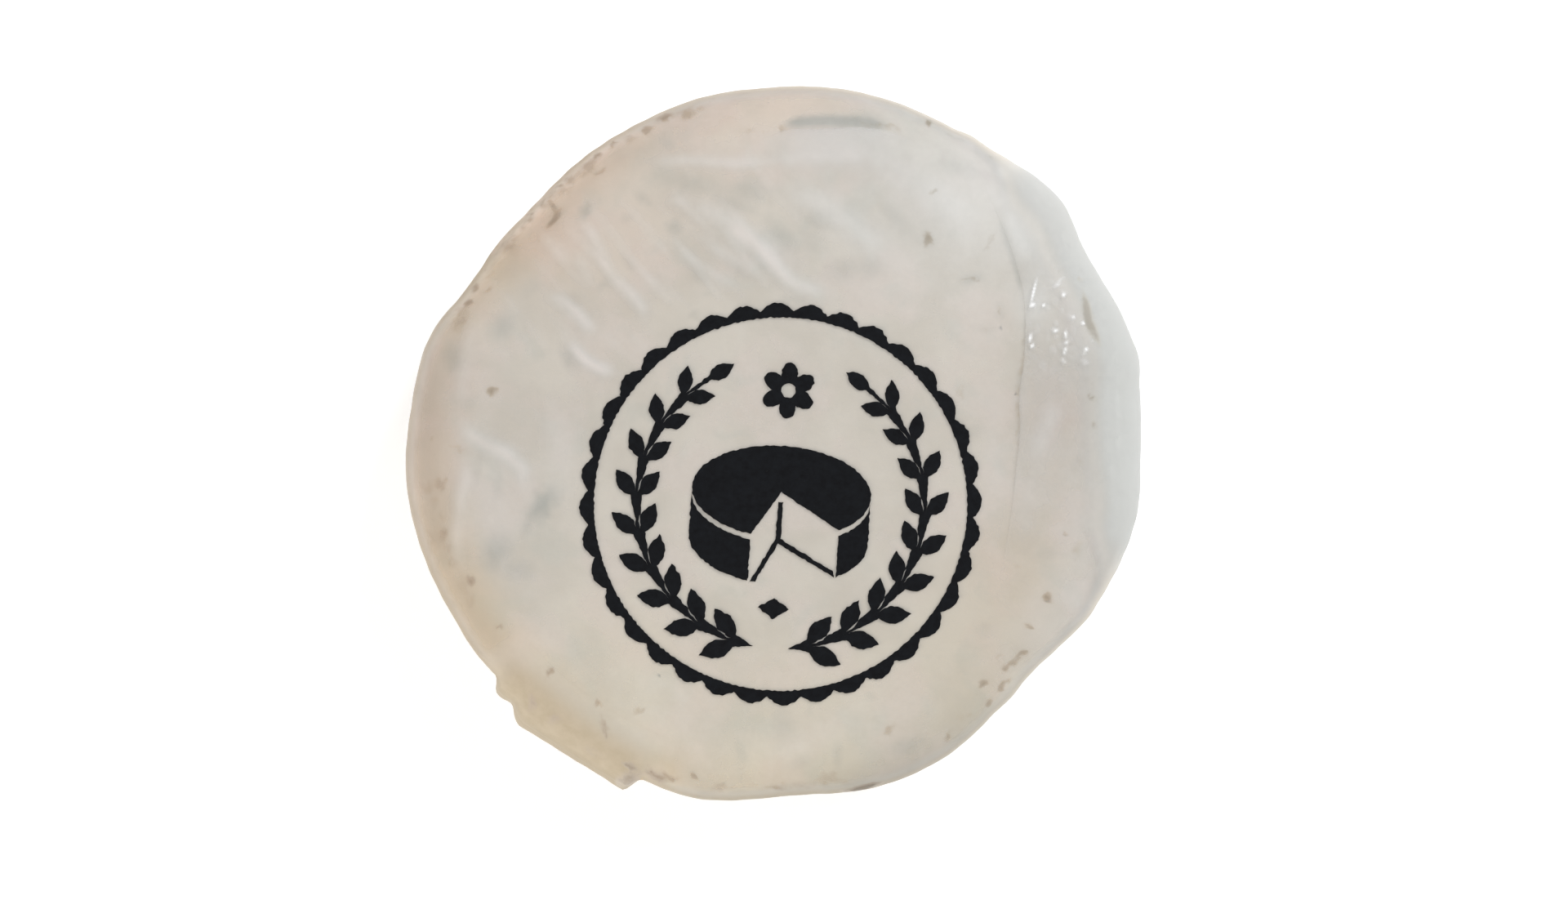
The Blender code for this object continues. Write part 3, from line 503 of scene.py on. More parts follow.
# The darkest stains, and painted shade in the deepest folds and the gap at the lower right
DARKEST_STAIN_AND_SHADE = (0.240, 0.195, 0.140)
LAP_MILK = (0.780, 0.775, 0.760)
# Painted highlight on the lap's glinting crests
LAP_PAINTED_GLINT = (0.95, 0.95, 0.95)
# Painted shade along the lap's free edge
LAP_EDGE_SHADE = (0.50, 0.47, 0.42)

# Colours of the ink and the table
INK_BLACKS = ((0.003, 0.003, 0.004), (0.008, 0.009, 0.011))
INK_WORN = (0.03, 0.03, 0.03)
FLOOR_WHITES = ((0.90, 0.90, 0.90), (0.92, 0.92, 0.92))

# Meshes
FILM_TOP_SPACING = 0.46
FILM_COLUMNS = 660
FILM_SHOULDER_STEPS = 22
FILM_SIDE_STEPS = 34
FILM_CORNER_STEPS = 10
FILM_BASE_SPACING = 0.85
CHEESE_TOP_SPACING = 0.38
CHEESE_COLUMNS = 640
CHEESE_SHOULDER_STEPS = 20
CHEESE_SIDE_STEPS = 22
CHEESE_CORNER_STEPS = 7
CHEESE_BASE_SPACING = 1.3
CHEESE_LEVELS = CHEESE_SHOULDER_STEPS + CHEESE_SIDE_STEPS + CHEESE_CORNER_STEPS

# Pleats of the film down the side and under the base
PLEATS = 38
PLEAT_SEED = 11
SIDE_PLEAT_DEPTH = 0.75
RIPPLE_HEIGHT = 0.022
SIDE_RIPPLE_HEIGHT = 0.12
BASE_PLEAT_DEPTH = 0.42
BASE_PATCH_RADIUS = 12.0
# The pleats swirl by this many degrees from the corner to the middle
BASE_SWIRL = 14.0
# Pleats even out by this share towards the corner's foot, and this much of them is left at the base
CORNER_EVENING = 0.6
BASE_PLEAT_SHARE = 0.4

# The seal, as in the part
SEAL_CENTRE = (1.25, -9.05)
SEAL_TURN = math.radians(-4.0)
SEAL_CLEAR_RADIUS = 33.0
SEAL_CLEAR_FADE = 4.0
INK_LIFT = 0.045
INK_THICKNESS = 0.02
INK_EDGE = 0.8
INK_OUTLINE_SPACING = 0.3
INK_WEAR = 0.045
INK_WEAR_LENGTH = 1.1
BORDER_RADIUS = 28.9
BORDER_SCALLOP = 1.2
BORDER_INNER_RADIUS = 27.9
BORDER_SCALLOPS = 36
SCALLOP_STEPS = 14
SPRIG_RADIUS = 21.6
SPRIG_START = math.radians(-83.0)
SPRIG_END = math.radians(60.0)
SPRIG_PAIRS = 9
SPRIG_LEAF_SPAN = 0.94
SPRIG_TIP_AT = 0.97
STEM_HALF_WIDTH = 0.24
LEAF_LENGTH = 5.7
LEAF_HALF_WIDTH = 1.4
LEAF_LEAN = math.radians(38.0)
LEAF_TAPER = 0.95
LEAF_SHORTENING = 0.22
TIP_LEAF_SHARE = 0.8
EMBLEM_HALF_WIDTH = 13.4
EMBLEM_HALF_DEPTH = 6.9
EMBLEM_CENTRE_Y = 1.8
EMBLEM_SIDE_HEIGHT = 7.0
EMBLEM_LINE = 0.8
CUT_LEFT = math.radians(-108.0)
CUT_RIGHT = math.radians(-48.0)
CUT_STROKE = 0.75
CUT_HEAD_DROP = 1.5
CUT_FOOT_INSET = 0.35
FLOWER_Y = 17.0
FLOWER_RADIUS = 4.2
FLOWER_PETALS = 6
FLOWER_VALLEY = 0.58
FLOWER_MIDDLE = 0.26
DIAMOND_Y = -15.6
DIAMOND_HALF_WIDTH = 2.3
DIAMOND_HALF_HEIGHT = 1.6


def smooth_step(value):
    share = np.clip(value, 0.0, 1.0)
    return share * share * (3.0 - 2.0 * share)


def bell(difference, width):
    return np.exp(-((difference / width) ** 2))


def angle_between(first, second):
    return (first - second + 180.0) % 360.0 - 180.0


def outline(degrees):
    radius = np.full_like(degrees, MEAN_RADIUS)
    for _, centre, width, height in OUTLINE_LOBES + FINE_LOBES:
        radius += height * bell(angle_between(degrees, centre), width)
    return radius


def film_flap(degrees):
    along = (degrees % 360.0 - FLAP_START) / (FLAP_END - FLAP_START)
    rising = FLAP_STEP + (FLAP_REACH - FLAP_STEP) * along / FLAP_CORNER_SHARE
    between = (along - FLAP_CORNER_SHARE) / (1.0 - FLAP_CORNER_SHARE)
    spanning = FLAP_REACH - FLAP_SAG * np.sin(math.pi * between)
    reach = np.where(along < FLAP_CORNER_SHARE, rising, spanning)
    edges = np.minimum(1.0, np.minimum(along, 1.0 - along) / FLAP_EDGE_SHARE)
    notch = bell(angle_between(degrees, FLAP_NOTCH_ANGLE), FLAP_NOTCH_WIDTH)
    inside = (along > 0.0) & (along < 1.0)
    return np.where(inside, reach * edges - FLAP_NOTCH_DEPTH * notch, 0.0)


def standoff(degrees):
    total = np.full_like(degrees, LEAST_STANDOFF)
    for _, centre, width, amount in STANDOFFS:
        total += amount * bell(angle_between(degrees, centre), width)
    return total


def cheese_reach(degrees):
    """The cheese's own outline, inside the film's and without its bulge into the flap."""
    return outline(degrees) - standoff(degrees)


def cheese_bulge(degrees):
    """How far the cheese bulges into the flap."""
    flap = sum(film_flap(degrees + slip) for slip in (-1.2, -0.6, 0.0, 0.6, 1.2)) / 5.0
    return FLAP_FILLED * np.maximum(flap, 0.0) * FLAP_SHOULDER_SHARE


def gap_share(degrees):
    """How much of the film's rim has no cheese behind it, 0 to 1."""
    return smooth_step((standoff(degrees) - LEAST_STANDOFF) / GAP_FULL_STANDOFF)


def edge_painted_light(degrees, share):
    """How much painted light makes the edge paler at a share of the way down the shoulder."""
    flap_fold = bells(degrees, FLAP_FOLD_PAINTED_LIGHTS) * bell(share - FLAP_FOLD_AT, PALE_WIDTH)
    return bells(degrees, EDGE_PAINTED_LIGHTS) * bell(share - PALE_AT, PALE_WIDTH) + flap_fold


def foot_shade(degrees, share, down=0.0):
    """How much painted shade darkens the film near the shoulder's foot, down to a share of the side."""
    reached = smooth_step((share - DARK_START) / (DARK_FULL - DARK_START))
    widest = FLAP_WIDEST * np.minimum(1.0, film_flap(degrees) / FLAP_REACH)
    return bells(degrees, FOOT_SHADES) * reached * (1.0 - smooth_step((down - widest) / DARK_END))


def bells(degrees, table):
    """The sum of the bells in a table of angles, widths and amounts."""
    total = np.zeros_like(degrees)
    for _, centre, width, amount in table:
        total += amount * bell(angle_between(degrees, centre), width)
    return total


def band_cover(radius, degrees):
    """Where the film over the gap hides the cheese, 0 well inside the cheese's rim and 1 outside."""
    inset = cheese_reach(degrees) - radius
    gap = gap_share(degrees)
    wide = 0.2 + 0.8 * gap ** 2
    return gap * smooth_step((BAND_START * wide - inset) / ((BAND_START - BAND_FULL) * wide))


def flap_tan(radius, degrees):
    """Where the tan of the cheese shows through the flap, 0 to 1."""
    along = (degrees % 360.0 - FLAP_START) / (FLAP_END - FLAP_START)
    ends = smooth_step(np.minimum(along, 1.0 - along) / FLAP_TAN_ENDS + 0.5)
    return ends * smooth_step((radius - outline(degrees) + FLAP_TAN_DEPTH) / FLAP_TAN_DEPTH)


class Waves:
    """A smooth random field: the sum of seeded plane waves of about one length."""

    def __init__(self, seed, length, heading=0.0, fan=math.pi):
        draw = np.random.RandomState(seed)
        lengths = length * np.exp(WAVE_SPREAD * draw.uniform(-1.0, 1.0, WAVE_COUNT))
        turns = math.radians(heading) + draw.uniform(-fan, fan, WAVE_COUNT)
        self.kx = 2.0 * math.pi / lengths * np.cos(turns)
        self.ky = 2.0 * math.pi / lengths * np.sin(turns)
        self.phase = draw.uniform(0.0, 2.0 * math.pi, WAVE_COUNT)
        self.scale = math.sqrt(2.0 / WAVE_COUNT)

    def __call__(self, x, y):
        total = np.zeros(np.shape(x))
        for kx, ky, phase in zip(self.kx, self.ky, self.phase):
            total += np.sin(kx * x + ky * y + phase)
        return total * self.scale


def line_distance(x, y, points):
    """Distance from a line of points, and how far along it the nearest point is, 0 to 1."""
    best = np.full(np.shape(x), 1e9)
    along = np.zeros(np.shape(x))
    lengths = [math.dist(a, b) for a, b in zip(points, points[1:])]
    whole = sum(lengths)
    done = 0.0
    for (ax, ay), (bx, by), length in zip(points, points[1:], lengths):
        share = ((x - ax) * (bx - ax) + (y - ay) * (by - ay)) / length ** 2
        share = np.clip(share, 0.0, 1.0)
        distance = np.hypot(x - ax - share * (bx - ax), y - ay - share * (by - ay))
        nearer = distance < best
        best = np.where(nearer, distance, best)
        along = np.where(nearer, (done + share * length) / whole, along)
        done += length
    return best, along


def ridge_shape(x, y, points, half_width):
    distance, along = line_distance(x, y, points)
    ends = smooth_step(np.minimum(along, 1.0 - along) / 0.3)
    return bell(distance, half_width) * (0.15 + 0.85 * ends)


def oval(x, y, centre_x, centre_y, half_length, half_width, turn):
    """How far a point is from an oval's middle, 1 on its rim."""
    cosine = math.cos(math.radians(turn))
    sine = math.sin(math.radians(turn))
    u = (x - centre_x) * cosine + (y - centre_y) * sine
    v = (y - centre_y) * cosine - (x - centre_x) * sine
    return np.hypot(u / half_length, v / half_width)


broad_waves = Waves(3, 17.0)
fine_waves = Waves(4, 4.2)
wander_waves = Waves(5, 12.0)
fan_waves = Waves(6, 3.4, heading=40.0, fan=math.radians(12.0))
patch_waves = Waves(7, 2.4)
relief_waves = Waves(8, 2.6)
crumple_waves = Waves(14, 2.6)


def plain_height(x, y):
    """Height of the wheel's top and shoulder without their swells."""
    radius = np.hypot(x, y)
    inset = outline(np.degrees(np.arctan2(y, x))) - radius
    across = np.clip(1.0 - inset / SHOULDER_WIDTH, 0.0, 1.0)
    drop = SHOULDER_DROP * (1.0 - np.sqrt(np.maximum(0.0, 1.0 - across ** 2)))
    return WHEEL_HEIGHT - TOP_CROWN * (radius / MEAN_RADIUS) ** 2 - drop


def seen(x, y):
    """Where a place on the wheel shows in the photo, in mm on the plane of its widest height."""
    spread = CAMERA_DISTANCE / (CAMERA_DISTANCE + WIDEST_HEIGHT - plain_height(x, y))
    middle_x, middle_y = VIEW_CENTRE
    return middle_x + (x - middle_x) * spread, middle_y + (y - middle_y) * spread


def placed(points):
    """Places on the wheel that show at the given points of the photo."""
    wanted = np.array(points, float)
    x, y = wanted.T
    for _ in range(4):
        shown_x, shown_y = seen(x, y)
        x = x + wanted[:, 0] - shown_x
        y = y + wanted[:, 1] - shown_y
    return np.stack([x, y], axis=1)


def seal_share(x, y):
    """0 in the seal's clear circle and 1 outside it."""
    from_seal = np.hypot(x - SEAL_CENTRE[0], y - SEAL_CENTRE[1])
    return smooth_step((from_seal - SEAL_CLEAR_RADIUS) / SEAL_CLEAR_FADE + 1.0)


def cheese_top(x, y):
    """The cheese's own top face, just under the film."""
    radius = np.hypot(x, y)
    height = WHEEL_HEIGHT - TOP_CROWN * (radius / MEAN_RADIUS) ** 2
    for swell, waves_x, waves_y, turn in TOP_SWELLS:
        height = height + swell * np.sin(2.0 * math.pi * (waves_x * x + waves_y * y) / SWELL_SPAN + turn)
    return height - CHEESE_UNDER_FILM


def film_lift(x, y):
    """How far the film stands above where it would lie tight, and its haze."""
    shown_x, shown_y = seen(x, y)
    wander_x = shown_x + 0.18 * wander_waves(x, y)
    wander_y = shown_y + 0.18 * wander_waves(y + 31.0, x)
    lift = np.zeros(np.shape(x))
    haze = np.zeros(np.shape(x))
    for _, points, half_width, height, whiteness in STREAKS:
        shape = ridge_shape(wander_x, wander_y, points, half_width)
        lift += height * shape
        haze += whiteness * shape
    for _, cx, cy, half_length, half_width, turn, height, whiteness in PUFFS:
        shape = bell(oval(wander_x, wander_y, cx, cy, half_length, half_width, turn), 1.0)
        lift += height * shape
        haze += whiteness * shape
    fan = bell(oval(shown_x, shown_y, *FANNED_FOLDS), 1.0)
    folds = np.maximum(fan_waves(x, y), 0.0)
    lift += 0.05 * fan * folds
    haze += 0.12 * fan * folds
    outside = seal_share(x, y)
    lift = lift * outside + 0.02 * fine_waves(x, y) * (0.3 + 0.7 * outside)
    return lift, haze * (0.25 + 0.75 * outside)


def film_top(x, y):
    lift, _ = film_lift(x, y)
    return cheese_top(x, y) + CHEESE_UNDER_FILM + lift


def pleat_list():
    """Seeded pleats round the wheel: angle, half width, depth, lean and start down the side."""
    draw = np.random.RandomState(PLEAT_SEED)
    pleats = []
    for index in range(PLEATS):
        centre = (index + draw.uniform(-0.38, 0.38)) * 360.0 / PLEATS
        width = draw.uniform(1.2, 2.9)
        depth = SIDE_PLEAT_DEPTH * draw.uniform(0.3, 1.0)
        lean = draw.uniform(-7.0, 7.0)
        start = draw.uniform(-0.05, 0.4)
        pleats.append((centre, width, depth, lean, start))
    return pleats


PLEAT_SHAPES = pleat_list()


def pleat_profile(difference, width):
    """A lapped pleat: a soft rise on one side and a sharp fall on the other."""
    rise = bell(np.minimum(difference, 0.0), width)
    fall = bell(np.maximum(difference, 0.0), width * 0.4)
    return np.where(difference < 0.0, rise, fall)


def side_pleats(degrees, share):
    """How far the film lies inside its outline: nothing on a pleat's crest, most between pleats."""
    total = np.zeros_like(degrees)
    for centre, width, depth, lean, start in PLEAT_SHAPES:
        difference = angle_between(degrees, centre + lean * share)
        grown = smooth_step((share - start) / (1.0 - start))
        total = np.maximum(total, depth * grown * pleat_profile(difference, width))
    return total - SIDE_PLEAT_DEPTH * float(smooth_step(share))


def rim_ripple(degrees, share):
    """Fine upright ripples of the film across the shoulder and side."""
    turn = np.radians(degrees)
    wander = 1.7 * np.sin(2.0 * turn + 1.0) + 1.1 * np.sin(5.0 * turn + 2.0) + 0.8 * share
    ripple = np.sin(61.0 * turn + 3.0 * wander) + 0.6 * np.sin(97.0 * turn - 2.0 * wander)
    height = RIPPLE_HEIGHT + SIDE_RIPPLE_HEIGHT * max(0.0, share - 0.5)
    return height * ripple * np.sin(math.pi * np.clip(share, 0.0, 1.0))


def film_reach(degrees, share):
    """The film's radius down the side, from the shoulder's foot at 0 to the corner at 1."""
    reach = outline(degrees) + SIDE_BELLY * math.sin(math.pi * share) - BASE_DRAW_IN * share ** 3
    flap_share = FLAP_SHOULDER_SHARE + (1.0 - FLAP_SHOULDER_SHARE) * math.sin(math.pi * share)
    return reach + film_flap(degrees) * flap_share


def polar(radius, degrees):
    turn = np.radians(degrees)
    return radius * np.cos(turn), radius * np.sin(turn)


def ring_angles(count):
    return np.arange(count) * 360.0 / count


class RingSurface:
    """A closed skin made of rings, from a middle point on top to one below."""

    def __init__(self):
        self.rings = []
        self.points = []
        self.facts = {}
        self.faces = []

    def add_ring(self, x, y, z, **facts):
        start = len(self.points)
        self.points.extend(zip(np.ravel(x), np.ravel(y), np.ravel(z)))
        count = len(self.points) - start
        for name, values in facts.items():
            self.facts.setdefault(name, []).extend(np.broadcast_to(values, (count,)))
        self.rings.append((start, count))

    def join(self):
        for (upper, upper_count), (lower, lower_count) in zip(self.rings, self.rings[1:]):
            if upper_count == 1:
                for index in range(lower_count):
                    self.faces.append((upper, lower + index, lower + (index + 1) % lower_count))
            elif lower_count == 1:
                for index in range(upper_count):
                    self.faces.append((lower, upper + (index + 1) % upper_count, upper + index))
            elif upper_count == lower_count:
                for index in range(upper_count):
                    following = (index + 1) % upper_count
                    self.faces.append((upper + index, lower + index, lower + following, upper + following))
            else:
                self.join_uneven(upper, upper_count, lower, lower_count)

    def join_uneven(self, upper, upper_count, lower, lower_count):
        at_upper = 0
        at_lower = 0
        while at_upper < upper_count or at_lower < lower_count:
            first = upper + at_upper % upper_count
            second = lower + at_lower % lower_count
            upper_next = (at_upper + 1) / upper_count
            lower_next = (at_lower + 1) / lower_count
            if at_upper < upper_count and (at_lower >= lower_count or upper_next <= lower_next):
                at_upper += 1
                self.faces.append((first, second, upper + at_upper % upper_count))
            else:
                at_lower += 1
                self.faces.append((first, second, lower + at_lower % lower_count))

    def build(self, name, finish):
        self.join()
        return make_piece(name, np.array(self.points), self.faces, finish, self.facts)


def make_piece(name, points_mm, faces, finish, facts=None):
    mesh = bpy.data.meshes.new(name)
    mesh.from_pydata((np.asarray(points_mm) * MM).tolist(), [], faces)
    for fact, values in (facts or {}).items():
        layer = mesh.attributes.new(fact, "FLOAT", "POINT")
        layer.data.foreach_set("value", np.asarray(values, np.float32))
    mesh.validate()
    mesh.shade_smooth()
    item = bpy.data.objects.new(name, mesh)
    bpy.context.scene.collection.objects.link(item)
    mesh.materials.append(finish)
    return item


def ring_count(radius, spacing, most):
    return int(min(most, max(8, round(2.0 * math.pi * radius / spacing))))


def film_facts(x, y, haze, cover=0.0, down=0.0, pale=0.0, dark=0.0):
    """The film's facts at each point; down is the share of the side above it."""
    degrees = np.degrees(np.arctan2(y, x))
    radius = np.hypot(x, y)
    shown_x, shown_y = seen(x, y)
    pink, straw, bright = tint_fields(shown_x, shown_y)
    band = band_cover(radius, degrees)
    flap = flap_tan(radius, degrees)
    tan = flap * (1.0 - (1.0 - FLAP_TAN_LEFT) * smooth_step((down - FLAP_TAN_FOOT) / FLAP_TAN_FOOT))
    # The stain holds the rind's stains and the painted shade of the folds
    stain = brown_and_shade_field(shown_x, shown_y) * (1.0 - smooth_step((down - FLAP_WIDEST * flap) / STAIN_DEPTH))
    covered = 1.0 - (1.0 - band) * (1.0 - FLAP_COVER * np.sqrt(tan)) * (1.0 - cover)
    return {"haze": haze, "cover": covered, "gap": band, "tan": tan,
            "stain": stain, "pale": pale, "dark": dark, "pink": pink, "straw": straw, "bright": bright}


def add_film_ring(skin, x, y):
    skin.add_ring(x, y, film_top(x, y), **film_facts(x, y, film_lift(x, y)[1]))


def add_film_top(skin):
    middle = np.zeros(1)
    add_film_ring(skin, middle, middle)
    top_radius = MEAN_RADIUS - SHOULDER_WIDTH
    steps = round(top_radius / FILM_TOP_SPACING)
    for index in range(1, steps):
        share = index / steps
        degrees = ring_angles(ring_count(share * top_radius, FILM_TOP_SPACING, FILM_COLUMNS))
        add_film_ring(skin, *polar(share * (outline(degrees) - SHOULDER_WIDTH), degrees))


def add_film_shoulder(skin):
    degrees = ring_angles(FILM_COLUMNS)
    for index in range(FILM_SHOULDER_STEPS + 1):
        share = index / FILM_SHOULDER_STEPS
        swing = share * math.pi / 2.0
        reach = outline(degrees) - SHOULDER_WIDTH * (1.0 - math.sin(swing))
        reach = reach + film_flap(degrees) * float(smooth_step(share)) * FLAP_SHOULDER_SHARE
        x, y = polar(reach + rim_ripple(degrees, 0.5 * share), degrees)
        z = film_top(x, y) - SHOULDER_DROP * (1.0 - math.cos(swing))
        cover = smooth_step((share - RIM_COVER_START) / (RIM_COVER_FULL - RIM_COVER_START))
        haze = film_lift(x, y)[1] + SIDE_HAZE * share ** 3
        # Painted light on the paler edge
        pale = edge_painted_light(degrees, share)
        skin.add_ring(x, y, z, **film_facts(x, y, haze, cover, 0.0, pale, foot_shade(degrees, share)))


def add_film_side(skin):
    degrees = ring_angles(FILM_COLUMNS)
    foot = film_top(*polar(outline(degrees), degrees)) - SHOULDER_DROP
    for index in range(1, FILM_SIDE_STEPS + 1):
        share = index / FILM_SIDE_STEPS
        pleats = side_pleats(degrees, share)
        reach = film_reach(degrees, share) + pleats + rim_ripple(degrees, 0.5 + 0.4 * share)
        x, y = polar(reach, degrees)
        z = foot + (BASE_CORNER_HEIGHT - foot) * share
        crest = np.clip(pleats + SIDE_PLEAT_DEPTH * float(smooth_step(share)), 0.0, 1.0)
        haze = SIDE_HAZE + CREST_HAZE * crest
        # Painted shade at the shoulder's foot
        dark = foot_shade(degrees, 1.0, share)
        skin.add_ring(x, y, z, **film_facts(x, y, haze, 1.0 - SIDE_CLEARING * share, share, 0.0, dark))


def add_film_corner(skin):
    degrees = ring_angles(FILM_COLUMNS)
    for index in range(1, FILM_CORNER_STEPS + 1):
        share = index / FILM_CORNER_STEPS
        swing = share * math.pi / 2.0
        pleats = side_pleats(degrees, 1.0) * (1.0 - CORNER_EVENING * share)
        reach = outline(degrees) - BASE_DRAW_IN - BASE_CORNER_WIDTH * (1.0 - math.cos(swing))
        reach = reach + film_flap(degrees) * FLAP_SHOULDER_SHARE * (1.0 - share) + pleats
        x, y = polar(reach, degrees)
        z = BASE_PLEAT_DEPTH + (BASE_CORNER_HEIGHT - BASE_PLEAT_DEPTH) * (1.0 - math.sin(swing))
        z = np.full_like(x, z) - BASE_PLEAT_DEPTH * share * base_pleats(degrees, 1.0)
        crest = np.clip(pleats + SIDE_PLEAT_DEPTH, 0.0, 1.0)
        facts = {**BASE_FILM_FACTS, **CORNER_TINTS}
        facts["haze"] = SIDE_HAZE + CREST_HAZE * crest
        facts["cover"] = 1.0 - SIDE_CLEARING - 0.15 * share
        facts["gap"] = gap_share(degrees) * (1.0 - share)
        skin.add_ring(x, y, z, **facts)


def add_film_base(skin):
    base_radius = MEAN_RADIUS - BASE_CORNER_WIDTH
    steps = round(base_radius / FILM_BASE_SPACING)
    for index in range(steps - 1, 0, -1):
        share = index / steps
        degrees = ring_angles(ring_count(share * base_radius, FILM_BASE_SPACING, FILM_COLUMNS))
        pleat_edge = side_pleats(degrees, 1.0) * BASE_PLEAT_SHARE
        rim = outline(degrees) - BASE_DRAW_IN - BASE_CORNER_WIDTH + pleat_edge
        x, y = polar(share * rim, degrees)
        press = base_pleats(degrees, share)
        height = BASE_PLEAT_DEPTH * (1.0 - press)
        skin.add_ring(x, y, height, **{**BASE_FILM_FACTS, "haze": 0.25 + 0.4 * press})
    middle = np.zeros(1)
    skin.add_ring(middle, middle, middle, **BASE_FILM_FACTS)


def build_film(finish):
    skin = RingSurface()
    add_film_top(skin)
    add_film_shoulder(skin)
    add_film_side(skin)
    add_film_corner(skin)
    add_film_base(skin)
    return skin.build("wrap_film", finish)


def base_pleats(degrees, share):
    """How far the pleats under the base press down, 0 to 1, full on the closing patch."""
    total = np.zeros_like(degrees)
    for centre, width, depth, lean, _ in PLEAT_SHAPES:
        difference = angle_between(degrees, centre + lean + BASE_SWIRL * (1.0 - share))
        narrow = width * (0.55 + 0.9 * (1.0 - share))
        total += (0.35 + 0.65 * depth / SIDE_PLEAT_DEPTH) * pleat_profile(difference, narrow)
    patch = smooth_step((BASE_PATCH_RADIUS / MEAN_RADIUS - share) / 0.05 + 0.5)
    return np.clip(total * (1.0 - patch) + patch, 0.0, 1.0)


def mark_field(x, y, marks, wobble, sharpness):
    """The strongest mark at each point, each an oval with an uneven rim."""
    field = np.zeros(np.shape(x))
    for cx, cy, half_length, half_width, turn, strength in marks:
        near = oval(x + wobble, y - wobble, cx, cy, half_length, half_width, turn)
        field = np.maximum(field, strength * np.exp(-0.8 * near ** sharpness))
    return field


def line_field(x, y, lines, taper_share=LINE_TAPER):
    """Lines that thin towards their ends, over a share of their length."""
    field = np.zeros(np.shape(x))
    for _, points, half_width, strength in lines:
        distance, along = line_distance(x, y, points)
        taper = smooth_step(np.minimum(along, 1.0 - along) / taper_share)
        field = np.maximum(field, strength * taper * bell(distance, half_width * (0.35 + 0.65 * taper)))
    return field


def brown_and_shade_field(x, y):
    """Brown marks and lines, with painted shade in the folds, with rims that wander as a stain's does."""
    across = x + 0.16 * fine_waves(x * 2.1, y * 2.1) + 0.07 * fine_waves(y * 5.3, x * 5.3)
    along = y + 0.16 * fine_waves(y * 2.1, x * 2.1) + 0.07 * fine_waves(x * 5.3 + 9.0, y * 5.3)
    patch = np.clip(0.90 + 0.22 * patch_waves(x, y), 0.5, 1.2)
    marks = mark_field(across, along, BROWN_MARKS, 0.0, BROWN_SHARPNESS)
    soft = np.maximum(marks, patch * line_field(across, along, BROWN_LINES))
    return np.maximum(soft, line_field(x, y, FOLD_SHADE_LINES, FOLD_TAPER))


def dot_field(x, y):
    field = np.zeros(np.shape(x))
    for cx, cy in BLACK_DOTS:
        field = np.maximum(field, bell(np.hypot(x - cx, y - cy), BLACK_DOT_RADIUS))
    return field


def tint_fields(x, y):
    """Pink, straw and brightness, partly the rind's own colour and partly painted light and shade, each
    near 1 where most so.
    """
    degrees = np.degrees(np.arctan2(y, x))
    rim = smooth_step((np.hypot(x, y) - RIM_TINT_START) / (RIM_TINT_FULL - RIM_TINT_START))
    pink = np.zeros(np.shape(x))
    straw = np.zeros(np.shape(x))
    bright = np.zeros(np.shape(x))
    for _, centre, width, pinkness, strawness, brightness in RIM_TINTS:
        share = rim * bell(angle_between(degrees, centre), width)
        pink += pinkness * share
        straw += strawness * share
        bright += brightness * share
    for _, cx, cy, radius, pinkness, strawness, brightness in FIELD_TINTS:
        share = bell(np.hypot(x - cx, y - cy), radius)
        pink += pinkness * share
        straw += strawness * share
        bright += brightness * share
    return pink, straw, bright


def rim_speckle(degrees, depth_share):
    """Seeded ochre speckle of the rind, thick on its edges and thin elsewhere."""
    draw = np.random.RandomState(SPECKLE_SEED)
    field = np.zeros(np.shape(degrees))
    for _ in range(SPECKLES):
        centre = draw.uniform(0.0, 360.0)
        level = draw.choice((0.42, 0.95)) + draw.normal(0.0, 0.22)
        width = draw.uniform(0.5, 1.6)
        height = draw.uniform(0.012, 0.035)
        strength = draw.uniform(0.25, 0.7)
        if abs(level - depth_share) < 3.0 * height:
            across = angle_between(degrees, centre) / width
            down = (depth_share - level) / height
            field = np.maximum(field, strength * np.exp(-(across ** 2) - down ** 2))
    return field


def cheese_facts(x, y, pale=0.0):
    x, y = seen(x, y)
    wobble = 0.12 * fine_waves(x * 1.7, y * 1.7)
    pink, straw, bright = tint_fields(x, y)
    grey = mark_field(x, y, GREY_MARKS, wobble, GREY_SHARPNESS)
    return {
        # brown also holds the painted shade of the folds
        "brown": brown_and_shade_field(x, y),
        # grey holds the painted shadows of the film's folds and gaps
        "grey": np.maximum(grey, line_field(x, y, PAINTED_SHADOW_LINES)),
        "pink": pink,
        "straw": straw,
        "bright": bright,
        "dots": dot_field(x, y),
        "pale": pale,
    }


def add_cheese_top(skin):
    middle = np.zeros(1)
    skin.add_ring(middle, middle, cheese_top(middle, middle), **cheese_facts(middle, middle))
    top_radius = MEAN_RADIUS - SHOULDER_WIDTH
    steps = round(top_radius / CHEESE_TOP_SPACING)
    for index in range(1, steps):
        share = index / steps
        degrees = ring_angles(ring_count(share * top_radius, CHEESE_TOP_SPACING, CHEESE_COLUMNS))
        x, y = polar(share * (cheese_reach(degrees) - SHOULDER_WIDTH), degrees)
        z = cheese_top(x, y) - TOP_RELIEF * (1.0 + relief_waves(x, y))
        skin.add_ring(x, y, z, **cheese_facts(x, y))


